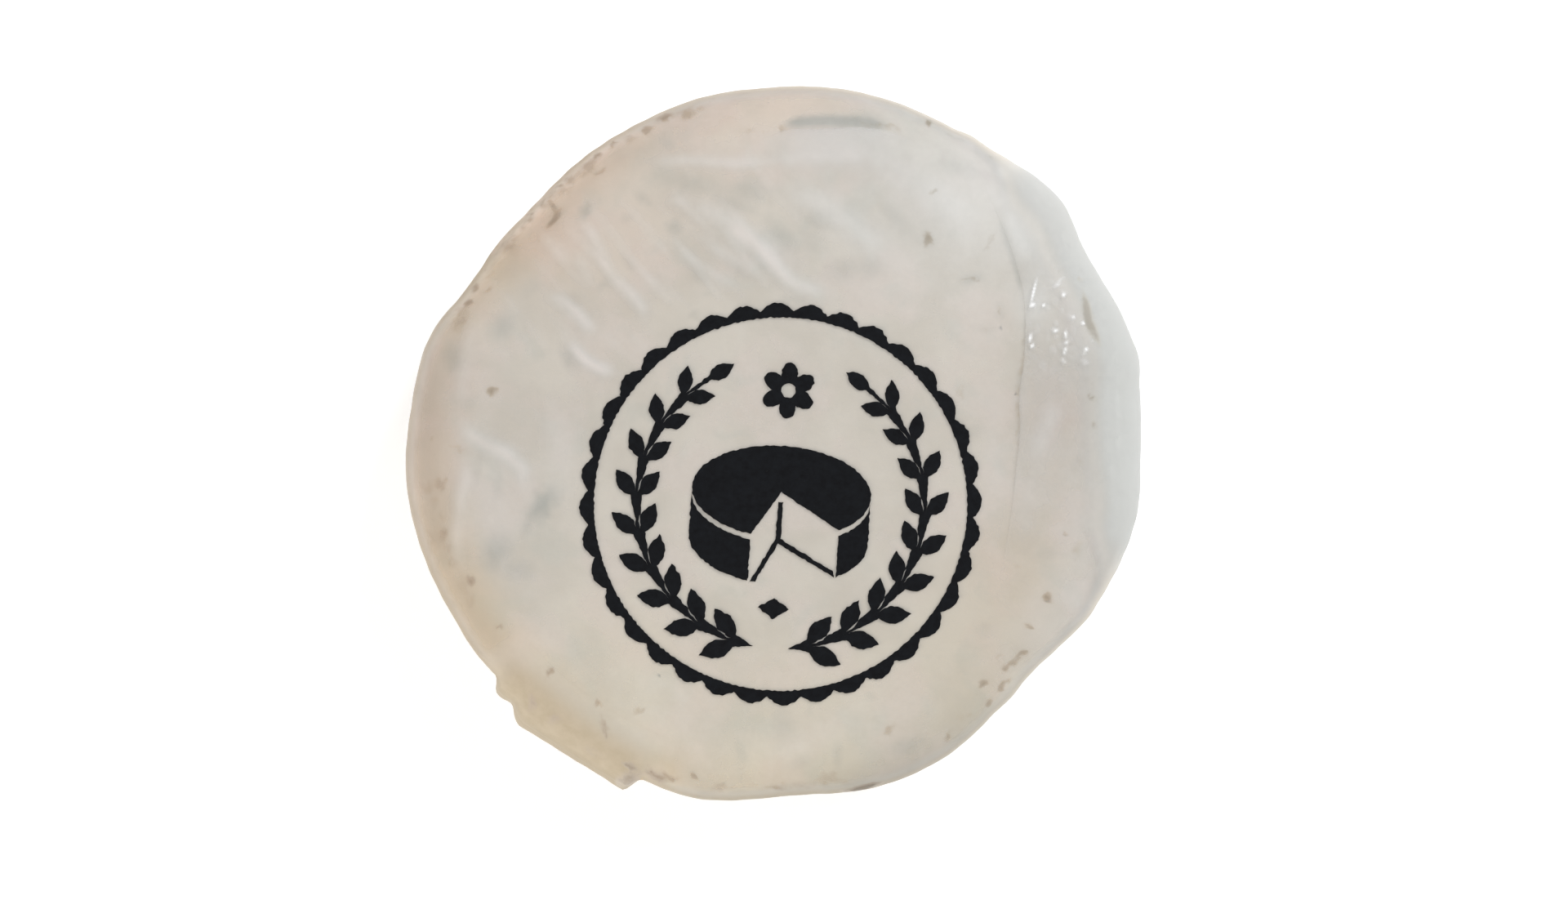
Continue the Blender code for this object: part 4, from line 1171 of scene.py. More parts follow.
def add_cheese_shoulder(skin, degrees):
    for index in range(CHEESE_SHOULDER_STEPS + 1):
        share = index / CHEESE_SHOULDER_STEPS
        swing = share * math.pi / 2.0
        reach = cheese_reach(degrees) - SHOULDER_WIDTH * (1.0 - math.sin(swing))
        x, y = polar(reach + cheese_bulge(degrees) * float(smooth_step(share)), degrees)
        z = cheese_top(x, y) - (SHOULDER_DROP - CHEESE_SHOULDER_RAISE) * (1.0 - math.cos(swing))
        # Painted light on the paler edge
        facts = cheese_facts(x, y, edge_painted_light(degrees, share))
        speckle = rim_speckle(degrees, index / CHEESE_LEVELS) * share ** 1.5
        facts["brown"] = np.maximum(facts["brown"], speckle)
        bumps = TOP_RELIEF * relief_waves(x, z + y)
        skin.add_ring(x, y, z - TOP_RELIEF - abs(bumps), **facts)


def add_cheese_side(skin, degrees):
    inside = cheese_reach(degrees)
    bulge = cheese_bulge(degrees)
    foot = cheese_top(*polar(inside, degrees)) - SHOULDER_DROP + CHEESE_SIDE_RAISE
    for index in range(1, CHEESE_SIDE_STEPS + 1):
        share = index / CHEESE_SIDE_STEPS
        reach = inside + bulge + SIDE_BELLY * math.sin(math.pi * share) - BASE_DRAW_IN * share ** 3
        reach = reach - SIDE_PLEAT_DEPTH * float(smooth_step(share))
        z = foot + (BASE_CORNER_HEIGHT + CHEESE_BASE_HEIGHT - foot) * share
        bumps = SIDE_RELIEF * relief_waves(degrees * MEAN_RADIUS / 57.3, z * 1.1)
        x, y = polar(reach - SIDE_RELIEF - abs(bumps), degrees)
        facts = cheese_facts(x, y)
        kept = 1.0 - smooth_step(share / STAIN_DEPTH)
        speckle = rim_speckle(degrees, (CHEESE_SHOULDER_STEPS + index) / CHEESE_LEVELS)
        facts["brown"] = np.maximum(facts["brown"] * kept, speckle)
        facts["grey"] = facts["grey"] * kept
        skin.add_ring(x, y, z, **facts)


def add_cheese_corner(skin, degrees):
    for index in range(1, CHEESE_CORNER_STEPS + 1):
        share = index / CHEESE_CORNER_STEPS
        swing = share * math.pi / 2.0
        rim = cheese_reach(degrees) - BASE_DRAW_IN - SIDE_PLEAT_DEPTH - CHEESE_SIDE_CLEARANCE
        reach = rim - BASE_CORNER_WIDTH * (1.0 - math.cos(swing)) + cheese_bulge(degrees) * (1.0 - share)
        x, y = polar(reach, degrees)
        z = np.full_like(x, CHEESE_BASE_HEIGHT + BASE_CORNER_HEIGHT * (1.0 - math.sin(swing)))
        facts = {**BASE_CHEESE_FACTS, **CORNER_TINTS}
        level = CHEESE_SHOULDER_STEPS + CHEESE_SIDE_STEPS + index
        facts["brown"] = rim_speckle(degrees, level / CHEESE_LEVELS)
        skin.add_ring(x, y, z, **facts)


def add_cheese_base(skin):
    base_radius = MEAN_RADIUS - BASE_CORNER_WIDTH
    steps = round(base_radius / CHEESE_BASE_SPACING)
    for index in range(steps - 1, 0, -1):
        share = index / steps
        degrees = ring_angles(ring_count(share * base_radius, CHEESE_BASE_SPACING, CHEESE_COLUMNS))
        rim = cheese_reach(degrees) - BASE_DRAW_IN - BASE_CORNER_WIDTH - SIDE_PLEAT_DEPTH
        x, y = polar(share * (rim - CHEESE_SIDE_CLEARANCE), degrees)
        blotch = 0.35 * np.clip(broad_waves(x * 1.4, y * 1.4) - 0.9, 0.0, 1.0)
        height = np.full_like(x, CHEESE_BASE_HEIGHT)
        skin.add_ring(x, y, height, **{**BASE_CHEESE_FACTS, "brown": blotch})
    middle = np.zeros(1)
    skin.add_ring(middle, middle, np.full(1, CHEESE_BASE_HEIGHT), **BASE_CHEESE_FACTS)


def build_cheese(finish):
    skin = RingSurface()
    degrees = ring_angles(CHEESE_COLUMNS)
    add_cheese_top(skin)
    add_cheese_shoulder(skin, degrees)
    add_cheese_side(skin, degrees)
    add_cheese_corner(skin, degrees)
    add_cheese_base(skin)
    return skin.build("cheese_wheel", finish)


def resample(points, spacing):
    """Even points along a line of points, smoothed by a moving mean."""
    points = np.array(points, float)
    steps = np.hypot(*np.diff(points, axis=0).T)
    at = np.concatenate(([0.0], np.cumsum(steps)))
    wanted = np.linspace(0.0, at[-1], int(at[-1] / spacing) + 1)
    x = np.interp(wanted, at, points[:, 0])
    y = np.interp(wanted, at, points[:, 1])
    span = 9
    kernel = np.ones(span) / span
    pad = span // 2
    x = np.convolve(np.pad(x, pad, mode="reflect", reflect_type="odd"), kernel, "valid")
    y = np.convolve(np.pad(y, pad, mode="reflect", reflect_type="odd"), kernel, "valid")
    return x, y


def film_surface_point(x, y):
    """Height of the film at a point of the top or shoulder, where one height serves."""
    flat_top = WHEEL_HEIGHT - TOP_CROWN * (np.hypot(x, y) / MEAN_RADIUS) ** 2
    return film_top(x, y) + plain_height(x, y) - flat_top


def sheet_piece(name, x, y, z, finish, **facts):
    """A thin closed sheet from grids of places: its upper face, and its lower one beneath."""
    rows, columns = x.shape
    upper = np.stack([x, y, z], axis=-1).reshape(-1, 3)
    lower = upper - np.array([0.0, 0.0, LAP_THICKNESS])
    count = rows * columns
    faces = []
    for row in range(rows - 1):
        for column in range(columns - 1):
            a = row * columns + column
            b = a + 1
            c = a + columns + 1
            d = a + columns
            faces.append((a, b, c, d))
            faces.append((count + d, count + c, count + b, count + a))
    rim = list(range(columns))
    rim += [row * columns + columns - 1 for row in range(1, rows)]
    rim += [(rows - 1) * columns + column for column in range(columns - 2, -1, -1)]
    rim += [row * columns for row in range(rows - 2, 0, -1)]
    for index, first in enumerate(rim):
        second = rim[(index + 1) % len(rim)]
        faces.append((second, first, count + first, count + second))
    doubled = {key: np.tile(np.ravel(values), 2) for key, values in facts.items()}
    return make_piece(name, np.vstack([upper, lower]), faces, finish, doubled)


def lap_crumple(x, y):
    """Crumples of the right lap: a height, and a painted highlight that whitens each glinting crest."""
    field = bell(oval(x, y, *LAP_CRUMPLE), 1.0)
    height = 0.08 * field * np.abs(crumple_waves(x, y))
    # A painted highlight on the crumples' crests
    white = 0.16 * field * smooth_step(np.abs(crumple_waves(x, y)) - 0.7)
    for cx, cy, length, width, turn in GLINTS:
        crest = np.exp(-(oval(x, y, cx, cy, length * 0.5, width * 0.5, turn) ** 2))
        height += 0.16 * crest
        white += 1.2 * crest
    return height, white


def build_right_lap(finish):
    """The lap of film over the right of the top and its shoulder, its edge free on the left."""
    edge_x, edge_y = resample(placed(LAP_EDGE), 0.42)
    columns = 56
    share = np.linspace(0.0, 1.0, columns)[None, :]
    degrees = np.degrees(np.arctan2(edge_y, edge_x))[:, None]
    start = np.hypot(edge_x, edge_y)[:, None]
    rim = outline(degrees) - 0.6
    radius = start + (rim - start) * share
    x, y = polar(radius, degrees)
    # The painted highlights of the glints go into the lap's haze
    height, white = lap_crumple(*seen(x, y))
    from_edge = radius - start
    rise = LAP_HEIGHT * (0.55 + 0.45 * np.exp(-from_edge / 2.5)) * (1.0 - 0.7 * share ** 4)
    z = film_surface_point(x, y) + rise + height
    along = np.linspace(0.0, 1.0, len(edge_x))[:, None]
    ends = smooth_step(along / 0.30) * smooth_step((1.0 - along) / 0.36)
    rim_fade = smooth_step((1.0 - share) / 0.3)
    fade = np.clip(ends * rim_fade, 0.0, 1.0) + 0.0 * x
    # Painted shade along the lap's free edge
    crease = np.exp(-from_edge / 0.45) * 0.5
    return sheet_piece("wrap_lap_right", x, y, z, finish, fade=fade, haze=white, crease=crease + 0.0 * x)


def build_top_lap(finish):
    """The lap whose edge crosses below the crescent gap at the top, fading into the film."""
    edge_x, edge_y = resample(placed(CREST_EDGE), 0.4)
    rows = 30
    share = np.linspace(0.0, 1.0, rows)[None, :]
    x = edge_x[:, None] - 0.12 * CREST_DEPTH * share
    y = edge_y[:, None] - CREST_DEPTH * share
    along = np.linspace(0.0, 1.0, len(edge_x))[:, None]
    ends = smooth_step(along / 0.34) * smooth_step((1.0 - along) / 0.35)
    fade = ends * (1.0 - smooth_step(share)) + 0.0 * x
    z = film_surface_point(x, y) + LAP_HEIGHT * (0.5 + 0.5 * np.exp(-share * 4.0))
    # Painted shade along the lap's free edge
    crease = np.exp(-share * CREST_DEPTH / 0.4) * 0.35 + 0.0 * x
    haze = 0.22 * np.exp(-share * 4.0) + 0.0 * x
    return sheet_piece("wrap_lap_top", x[:, ::-1], y[:, ::-1], z[:, ::-1], finish,
                       fade=fade[:, ::-1], haze=haze[:, ::-1], crease=crease[:, ::-1])


def seal_place(u, v):
    cosine = math.cos(SEAL_TURN)
    sine = math.sin(SEAL_TURN)
    return SEAL_CENTRE[0] + u * cosine - v * sine, SEAL_CENTRE[1] + u * sine + v * cosine


def worn(points, seed):
    """An outline with the slightly uneven edge of a stamp."""
    edge = Waves(seed, INK_WEAR_LENGTH)
    points = np.array(points)
    push = INK_WEAR * edge(points[:, 0], points[:, 1])
    slip = INK_WEAR * edge(points[:, 1] + 17.0, points[:, 0])
    return np.stack([points[:, 0] + push, points[:, 1] + slip], axis=1)


def fine_loop(points):
    """The same closed outline with a point at least every so many mm."""
    result = []
    for (ax, ay), (bx, by) in zip(points, list(points[1:]) + [points[0]]):
        steps = max(1, math.ceil(math.hypot(bx - ax, by - ay) / INK_OUTLINE_SPACING))
        for step in range(steps):
            result.append((ax + (bx - ax) * step / steps, ay + (by - ay) * step / steps))
    return result


def within(points, loops):
    """Whether each point lies inside the first loop and outside the holes."""
    crossings = np.zeros(len(points), int)
    px = points[:, 0]
    py = points[:, 1]
    for loop in loops:
        ends = np.roll(loop, -1, axis=0)
        for (ax, ay), (bx, by) in zip(loop, ends):
            if ay == by:
                continue
            spans = (ay > py) != (by > py)
            at = ax + (py - ay) * (bx - ax) / (by - ay)
            crossings += spans & (px < at)
    return crossings % 2 == 1


def lattice_inside(loops, spacing):
    """Evenly spread places inside the outline and clear of its edges."""
    every = np.vstack(loops)
    low = every.min(axis=0)
    high = every.max(axis=0)
    xs, ys = np.meshgrid(np.arange(low[0], high[0], spacing), np.arange(low[1], high[1], spacing))
    places = np.stack([xs.ravel(), ys.ravel()], axis=1)
    places = places[within(places, loops)]
    clear = [np.min(np.hypot(*(every - place).T)) > 0.45 * spacing for place in places]
    return places[np.array(clear, bool)] if len(places) else places


def triangulated(loops, spacing):
    """Places and triangles that fill the outline less its holes."""
    inner = lattice_inside(loops, spacing)
    places = [Vector(place) for loop in loops for place in loop]
    edges = []
    start = 0
    for loop in loops:
        edges += [(start + index, start + (index + 1) % len(loop)) for index in range(len(loop))]
        start += len(loop)
    places += [Vector(place) for place in inner]
    found = delaunay_2d_cdt(places, edges, [], 0, 1e-6)
    points = np.array([place[:] for place in found[0]])
    triangles = np.array([face for face in found[2] if len(face) == 3])
    middles = points[triangles].mean(axis=1)
    kept = triangles[within(middles, loops)]
    return points, [tuple(int(v) for v in triangle) for triangle in kept]


def ink_piece(name, node, loops, finish, seed):
    """Ink laid on the film in the shape of closed loops, the first an outline, others holes."""
    rough = [worn(fine_loop(list(loop)), seed) for loop in loops]
    points, triangles = triangulated(rough, INK_EDGE)
    count = len(points)
    x, y = seal_place(points[:, 0], points[:, 1])
    z = film_top(x, y) + INK_LIFT
    upper = np.stack([x, y, z + INK_THICKNESS], axis=1)
    lower = np.stack([x, y, z], axis=1)
    faces = list(triangles)
    faces += [(c + count, b + count, a + count) for a, b, c in triangles]
    sides = dict.fromkeys(edge for a, b, c in triangles for edge in ((a, b), (b, c), (c, a)))
    for a, b in sides:
        if (b, a) not in sides:
            faces.append((b, a, a + count, b + count))
    item = make_piece(name, np.vstack([upper, lower]), faces, finish)
    item.data.set_sharp_from_angle(angle=math.radians(50.0))
    remove_loose(item.data)
    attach(item, "root")
    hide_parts(node)
    return item


def remove_loose(mesh):
    bm = bmesh.new()
    bm.from_mesh(mesh)
    loose = [vertex for vertex in bm.verts if not vertex.link_faces]
    bmesh.ops.delete(bm, geom=loose, context="VERTS")
    bm.to_mesh(mesh)
    bm.free()


def circle(radius, steps):
    turns = [2.0 * math.pi * index / steps for index in range(steps)]
    return [(radius * math.cos(turn), radius * math.sin(turn)) for turn in turns]


def scalloped_circle():
    steps = BORDER_SCALLOPS * SCALLOP_STEPS
    points = []
    for index in range(steps):
        turn = 2.0 * math.pi * index / steps
        bump = abs(math.sin(BORDER_SCALLOPS * turn / 2.0))
        radius = BORDER_RADIUS + BORDER_SCALLOP * bump
        points.append((radius * math.cos(turn), radius * math.sin(turn)))
    return points


def leaf(base_u, base_v, direction, length):
    """A pointed leaf from its base round its tip and back, anticlockwise."""
    half_width = LEAF_HALF_WIDTH * length / LEAF_LENGTH
    shares = [0.1 + 0.88 * index / 9.0 for index in range(10)]
    stations = [(share, -1.0) for share in shares] + [(1.0, 0.0)]
    stations += [(share, 1.0) for share in reversed(shares)]
    points = []
    for share, side in stations:
        along = share * length
        across = side * half_width * math.sin(math.pi * share ** LEAF_TAPER)
        u = base_u + along * math.cos(direction) - across * math.sin(direction)
        v = base_v + along * math.sin(direction) + across * math.cos(direction)
        points.append((u, v))
    return points


def sprig():
    """The right-hand sprig: a stem along an arc with a leaf on each side at each joint."""
    outer = []
    inner = []
    sweep = SPRIG_END - SPRIG_START
    for index in range(SPRIG_PAIRS):
        share = (index + 0.5) / SPRIG_PAIRS
        turn = SPRIG_START + share * sweep * SPRIG_LEAF_SPAN
        heading = turn + math.pi / 2.0
        length = LEAF_LENGTH * (1.0 - LEAF_SHORTENING * share)
        for sign, side in ((1.0, outer), (-1.0, inner)):
            foot = SPRIG_RADIUS + sign * STEM_HALF_WIDTH
            place = (foot * math.cos(turn), foot * math.sin(turn))
            side.append(leaf(*place, heading - sign * LEAF_LEAN, length))
    start = (SPRIG_RADIUS * math.cos(SPRIG_START), SPRIG_RADIUS * math.sin(SPRIG_START))
    end_turn = SPRIG_START + SPRIG_TIP_AT * sweep
    tip_foot = (SPRIG_RADIUS * math.cos(end_turn), SPRIG_RADIUS * math.sin(end_turn))
    tip = leaf(*tip_foot, end_turn + math.pi / 2.0, LEAF_LENGTH * TIP_LEAF_SHARE)
    points = [start]
    for lobe in outer:
        points.extend(lobe)
    points.extend(tip)
    for lobe in reversed(inner):
        points.extend(lobe)
    return points


def mirrored(points):
    return [(-u, v) for u, v in reversed(points)]


def emblem_rim(turn, drop=0.0):
    u = EMBLEM_HALF_WIDTH * math.cos(turn)
    v = EMBLEM_CENTRE_Y + EMBLEM_HALF_DEPTH * math.sin(turn)
    return u, v - drop


def spread(start, end):
    steps = max(2, round(abs(end - start) / math.radians(2.5)))
    return [start + (end - start) * index / steps for index in range(steps + 1)]


def emblem_top():
    rim = [emblem_rim(turn) for turn in spread(CUT_RIGHT, CUT_LEFT + 2.0 * math.pi)]
    return [(0.0, EMBLEM_CENTRE_Y)] + rim


def emblem_side(start, end):
    upper = [emblem_rim(turn, EMBLEM_LINE) for turn in spread(end, start)]
    lower = [emblem_rim(turn, EMBLEM_SIDE_HEIGHT) for turn in spread(start, end)]
    return lower + upper


def emblem_cut_lines():
    half = CUT_STROKE / 2.0
    head_v = EMBLEM_CENTRE_Y - CUT_HEAD_DROP
    foot_v = EMBLEM_CENTRE_Y - EMBLEM_SIDE_HEIGHT
    left_u, left_v = emblem_rim(CUT_LEFT, EMBLEM_SIDE_HEIGHT)
    right_u, right_v = emblem_rim(CUT_RIGHT, EMBLEM_SIDE_HEIGHT)
    left_u += CUT_FOOT_INSET
    right_u -= CUT_FOOT_INSET
    return [
        (half, head_v), (-half, head_v), (-half, foot_v),
        (left_u, left_v), (left_u + CUT_STROKE, left_v), (0.0, foot_v - CUT_STROKE),
        (right_u, right_v), (right_u, right_v + CUT_STROKE), (half, foot_v),
    ]


def flower():
    steps = FLOWER_PETALS * 18
    points = []
    for index in range(steps):
        turn = 2.0 * math.pi * index / steps
        petal = abs(math.sin(FLOWER_PETALS * turn / 2.0))
        reach = FLOWER_RADIUS * (FLOWER_VALLEY + (1.0 - FLOWER_VALLEY) * petal)
        points.append((reach * math.cos(turn), FLOWER_Y + reach * math.sin(turn)))
    middle = circle(FLOWER_MIDDLE * FLOWER_RADIUS, 30)
    return [points, [(u, FLOWER_Y + v) for u, v in middle]]


def diamond():
    return [
        (DIAMOND_HALF_WIDTH, DIAMOND_Y), (0.0, DIAMOND_Y + DIAMOND_HALF_HEIGHT),
        (-DIAMOND_HALF_WIDTH, DIAMOND_Y), (0.0, DIAMOND_Y - DIAMOND_HALF_HEIGHT),
    ]


def build_seal(finish):
    border = [scalloped_circle(), circle(BORDER_INNER_RADIUS, 360)]
    ink_piece("ink_border", "seal_border", border, finish, 41)
    ink_piece("ink_sprig_right", "seal_sprig_right", [sprig()], finish, 42)
    ink_piece("ink_sprig_left", "seal_sprig_left", [mirrored(sprig())], finish, 43)
    ink_piece("ink_wheel_top", "seal_wheel_top", [emblem_top()], finish, 44)
    left = [emblem_side(-math.pi, CUT_LEFT)]
    ink_piece("ink_wheel_side_left", "seal_wheel_side_left", left, finish, 45)
    right = [emblem_side(CUT_RIGHT, 0.0)]
    ink_piece("ink_wheel_side_right", "seal_wheel_side_right", right, finish, 46)
    ink_piece("ink_wheel_cut", "seal_wheel_cut", [emblem_cut_lines()], finish, 47)
    ink_piece("ink_flower", "seal_flower", flower(), finish, 48)
    ink_piece("ink_diamond", "seal_diamond", [diamond()], finish, 49)


class Nodes:
    """Short words for making one material's nodes."""

    def __init__(self, name):
        self.material = bpy.data.materials.new(name)
        self.material.use_nodes = True
        self.tree = self.material.node_tree
        self.shader = self.tree.nodes["Principled BSDF"]
        self.place = self.tree.nodes.new("ShaderNodeTexCoord").outputs["Object"]

    def feed(self, socket, value):
        if isinstance(value, bpy.types.NodeSocket):
            self.tree.links.new(value, socket)
        else:
            socket.default_value = value

    def attribute(self, name):
        node = self.tree.nodes.new("ShaderNodeAttribute")
        node.attribute_name = name
        return node.outputs["Fac"]

    def noise(self, size_mm, detail=3.0, roughness=0.55, distortion=0.0):
        node = self.tree.nodes.new("ShaderNodeTexNoise")
        self.feed(node.inputs["Vector"], self.place)
        node.inputs["Scale"].default_value = 1.0 / (size_mm * MM)
        node.inputs["Detail"].default_value = detail
        node.inputs["Roughness"].default_value = roughness
        node.inputs["Distortion"].default_value = distortion
        return node.outputs["Fac"]

    def math(self, operation, first, second=0.0, clamp=False):
        node = self.tree.nodes.new("ShaderNodeMath")
        node.operation = operation
        node.use_clamp = clamp
        self.feed(node.inputs[0], first)
        self.feed(node.inputs[1], second)
        return node.outputs[0]

    def scaled(self, value, low, high, to_low=0.0, to_high=1.0, smooth=False):
        node = self.tree.nodes.new("ShaderNodeMapRange")
        node.interpolation_type = "SMOOTHSTEP" if smooth else "LINEAR"
        self.feed(node.inputs["Value"], value)
        node.inputs["From Min"].default_value = low
        node.inputs["From Max"].default_value = high
        node.inputs["To Min"].default_value = to_low
        node.inputs["To Max"].default_value = to_high
        return node.outputs["Result"]

    def mix(self, share, first, second, blend="MIX"):
        node = self.tree.nodes.new("ShaderNodeMix")
        node.data_type = "RGBA"
        node.blend_type = blend
        self.feed(node.inputs["Factor"], share)
        self.feed(node.inputs["A"], first)
        self.feed(node.inputs["B"], second)
        return node.outputs["Result"]

    def stained(self, share, base, factor):
        """The base multiplied by a colour, by a share."""
        return self.mix(share, base, self.mix(1.0, base, colour(*factor), "MULTIPLY"))

    def varied(self, texture, first, second, low=0.35, high=0.65):
        """One colour passing into another with a texture."""
        return self.mix(self.scaled(texture, low, high), colour(*first), colour(*second))

    def shade(self, values):
        """Gives the shader's sockets their values or other nodes' results."""
        for name, value in values.items():
            self.feed(self.shader.inputs[name], value)

    def bump(self, height, distance_mm, strength=1.0, under=None):
        node = self.tree.nodes.new("ShaderNodeBump")
        node.inputs["Strength"].default_value = strength
        node.inputs["Distance"].default_value = distance_mm * MM
        self.feed(node.inputs["Height"], height)
        if under is not None:
            self.feed(node.inputs["Normal"], under)
        return node.outputs["Normal"]


def colour(red, green, blue):
    return (red, green, blue, 1.0)


def rind_base(nodes):
    """The rind's colour: cream cloud, blush and pallor, with its tints, partly painted light and shade,
    and the painted light of the paler edge.
    """
    cloud = nodes.noise(15.0, 3.0, 0.55)
    blush = nodes.noise(9.0, 3.0, 0.5)
    pallor = nodes.noise(6.5, 3.0, 0.5, 0.4)
    base = nodes.mix(nodes.scaled(cloud, 0.36, 0.64, smooth=True), colour(*RIND_CREAM), colour(*RIND_PALE))
    base = nodes.mix(nodes.scaled(blush, 0.46, 0.66, 0.0, 0.85, True), base, colour(*RIND_BLUSH))
    base = nodes.mix(nodes.scaled(pallor, 0.54, 0.72, 0.0, 0.55, True), base, colour(*RIND_PALLOR))
    straw = nodes.attribute("straw")
    bright = nodes.attribute("bright")
    base = nodes.stained(nodes.scaled(nodes.attribute("pink"), 0.0, 1.0), base, (1.03, 0.90, 0.84))
    base = nodes.stained(nodes.scaled(straw, 0.0, 1.0), base, (1.06, 1.03, 0.87))
    base = nodes.stained(nodes.scaled(straw, 0.0, -1.0), base, (0.98, 1.03, 1.12))
    # Brightness, partly painted light and shade
    base = nodes.stained(nodes.scaled(bright, 0.0, 1.0), base, (1.16, 1.16, 1.16))
    base = nodes.stained(nodes.scaled(bright, 0.0, -1.0), base, (0.84, 0.84, 0.84))
    # Painted light on the paler edge
    return nodes.stained(nodes.attribute("pale"), base, (2.0, 2.0, 2.0))


def cheese_material():
    """A white bloomy rind: cream cloud, ochre and brown marks with painted shade in the folds, and painted
    grey shadows.
    """
    nodes = Nodes("bloomy_rind")
    grain = nodes.noise(1.1, 4.0, 0.65)
    fuzz = nodes.noise(0.5, 3.0)
    uneven = nodes.math("ADD", nodes.attribute("grey"), nodes.scaled(grain, 0.3, 0.7, -0.03, 0.03))
    speck = nodes.math("ADD", nodes.attribute("brown"), nodes.scaled(grain, 0.3, 0.7, -0.14, 0.14))
    # Painted shadows in grey
    base = nodes.mix(nodes.scaled(uneven, 0.06, 1.0), rind_base(nodes), colour(*PAINTED_SHADOW_GREY))
    base = nodes.mix(nodes.scaled(speck, 0.16, 0.66, 0.0, 0.60, True), base, colour(*RIND_OCHRE))
    base = nodes.mix(nodes.scaled(speck, 0.50, 1.05, 0.0, 0.60, True), base, colour(*RIND_BROWN))
    base = nodes.mix(nodes.scaled(nodes.attribute("dots"), 0.2, 0.7), base, colour(*DOT_BLACK))
    soft = nodes.bump(grain, 0.10, 0.4)
    nodes.shade({
        "Base Color": base,
        "Roughness": nodes.scaled(grain, 0.2, 0.8, 0.7, 0.9),
        "Normal": nodes.bump(fuzz, 0.03, 0.5, soft),
        "Specular IOR Level": 0.2,
    })
    return nodes.material


def film_alpha(nodes, cloud, streak):
    """How far the film hides what lies behind it: more where it is hazy, most where it is loose."""
    body = nodes.math("ADD", nodes.attribute("haze"), nodes.scaled(cloud, 0.3, 0.7, -0.07, 0.12))
    body = nodes.math("ADD", body, nodes.scaled(streak, 0.35, 0.65, -0.02, 0.02))
    covered = nodes.scaled(nodes.attribute("cover"), 0.0, 1.0, 1.0, 0.10)
    bare = nodes.math("MULTIPLY", nodes.scaled(body, 0.0, 1.0, 0.73, 0.20), covered)
    return nodes.math("SUBTRACT", 1.0, bare)


def film_skin(nodes, cloud):
    """The film's milky colour, with its tints towards the rim, partly painted light and shade, its warm
    crests, and the painted light of the paler edge.
    """
    cover = nodes.attribute("cover")
    straw = nodes.attribute("straw")
    bright = nodes.attribute("bright")
    tint = nodes.varied(cloud, *MILKY)
    tint = nodes.mix(nodes.scaled(cover, 0.0, 0.95, smooth=True), tint, nodes.varied(cloud, *MILKY_RIM))
    rim_pink = nodes.scaled(nodes.attribute("pink"), 0.1, 1.0, 0.0, 0.9)
    rim_straw = nodes.scaled(straw, 0.1, 1.0, 0.0, 0.9)
    tint = nodes.stained(rim_pink, tint, (1.0, 0.92, 0.87))
    tint = nodes.stained(rim_straw, tint, (1.0, 0.98, 0.88))
    hazy = nodes.scaled(nodes.attribute("haze"), 0.30, 0.80, smooth=True)
    crest = nodes.math("MULTIPLY", hazy, nodes.scaled(straw, -0.30, 0.0))
    crest = nodes.math("MULTIPLY", crest, nodes.scaled(cover, 0.0, 0.5, 1.0, 0.0))
    tint = nodes.mix(crest, tint, colour(*CREST_WHITE))
    # Brightness, partly painted light and shade
    tint = nodes.stained(nodes.scaled(bright, 0.0, 1.0), tint, (1.07, 1.07, 1.07))
    tint = nodes.stained(nodes.scaled(bright, 0.0, -1.0), tint, (0.84, 0.84, 0.84))
    # Painted light on the paler edge
    return nodes.stained(nodes.attribute("pale"), tint, (2.0, 2.0, 2.0))


def film_edges(nodes, tint, streak):
    """The film's tint with its band over the gap painted grey for the shade behind it, a painted light
    where the band begins, its tan flap and painted shade at its foot.
    """
    gap = nodes.attribute("gap")
    # Painted light where the band begins
    band_start_light = nodes.math("MULTIPLY", nodes.math("MULTIPLY", gap, gap), nodes.math("SUBTRACT", 1.0, gap))
    tint = nodes.mix(nodes.scaled(band_start_light, 0.0, 0.148, 0.0, 0.36), tint, colour(*PAINTED_BAND_LIGHT))
    # Painted grey for the shade behind the film over the gap
    band = nodes.varied(nodes.attribute("bright"), *GAP_SHADE_GREYS, 0.1, 1.0)
    tint = nodes.mix(nodes.scaled(gap, 0.35, 1.0, smooth=True), tint, band)
    tan = nodes.scaled(nodes.attribute("tan"), 0.10, 1.0, smooth=True)
    tint = nodes.mix(tan, tint, nodes.varied(streak, *FLAP_TANS))
    # Painted shade at the shoulder's foot
    return nodes.stained(nodes.attribute("dark"), tint, (0.42, 0.36, 0.22))


def film_stain(nodes, deep, darkest_stain_and_shade):
    """The colour of the rind's stains seen through the film, which also paints the shade of the folds,
    darkest where it is painted shade.
    """
    brown = nodes.mix(deep, colour(*STAIN_TAN), colour(*STAIN_BROWN))
    brown = nodes.stained(nodes.scaled(nodes.attribute("pink"), 0.1, 0.8), brown, (1.10, 1.01, 0.98))
    brown = nodes.stained(nodes.scaled(nodes.attribute("straw"), -0.05, -0.50), brown, (0.96, 1.03, 1.10))
    return nodes.mix(darkest_stain_and_shade, brown, colour(*DARKEST_STAIN_AND_SHADE))


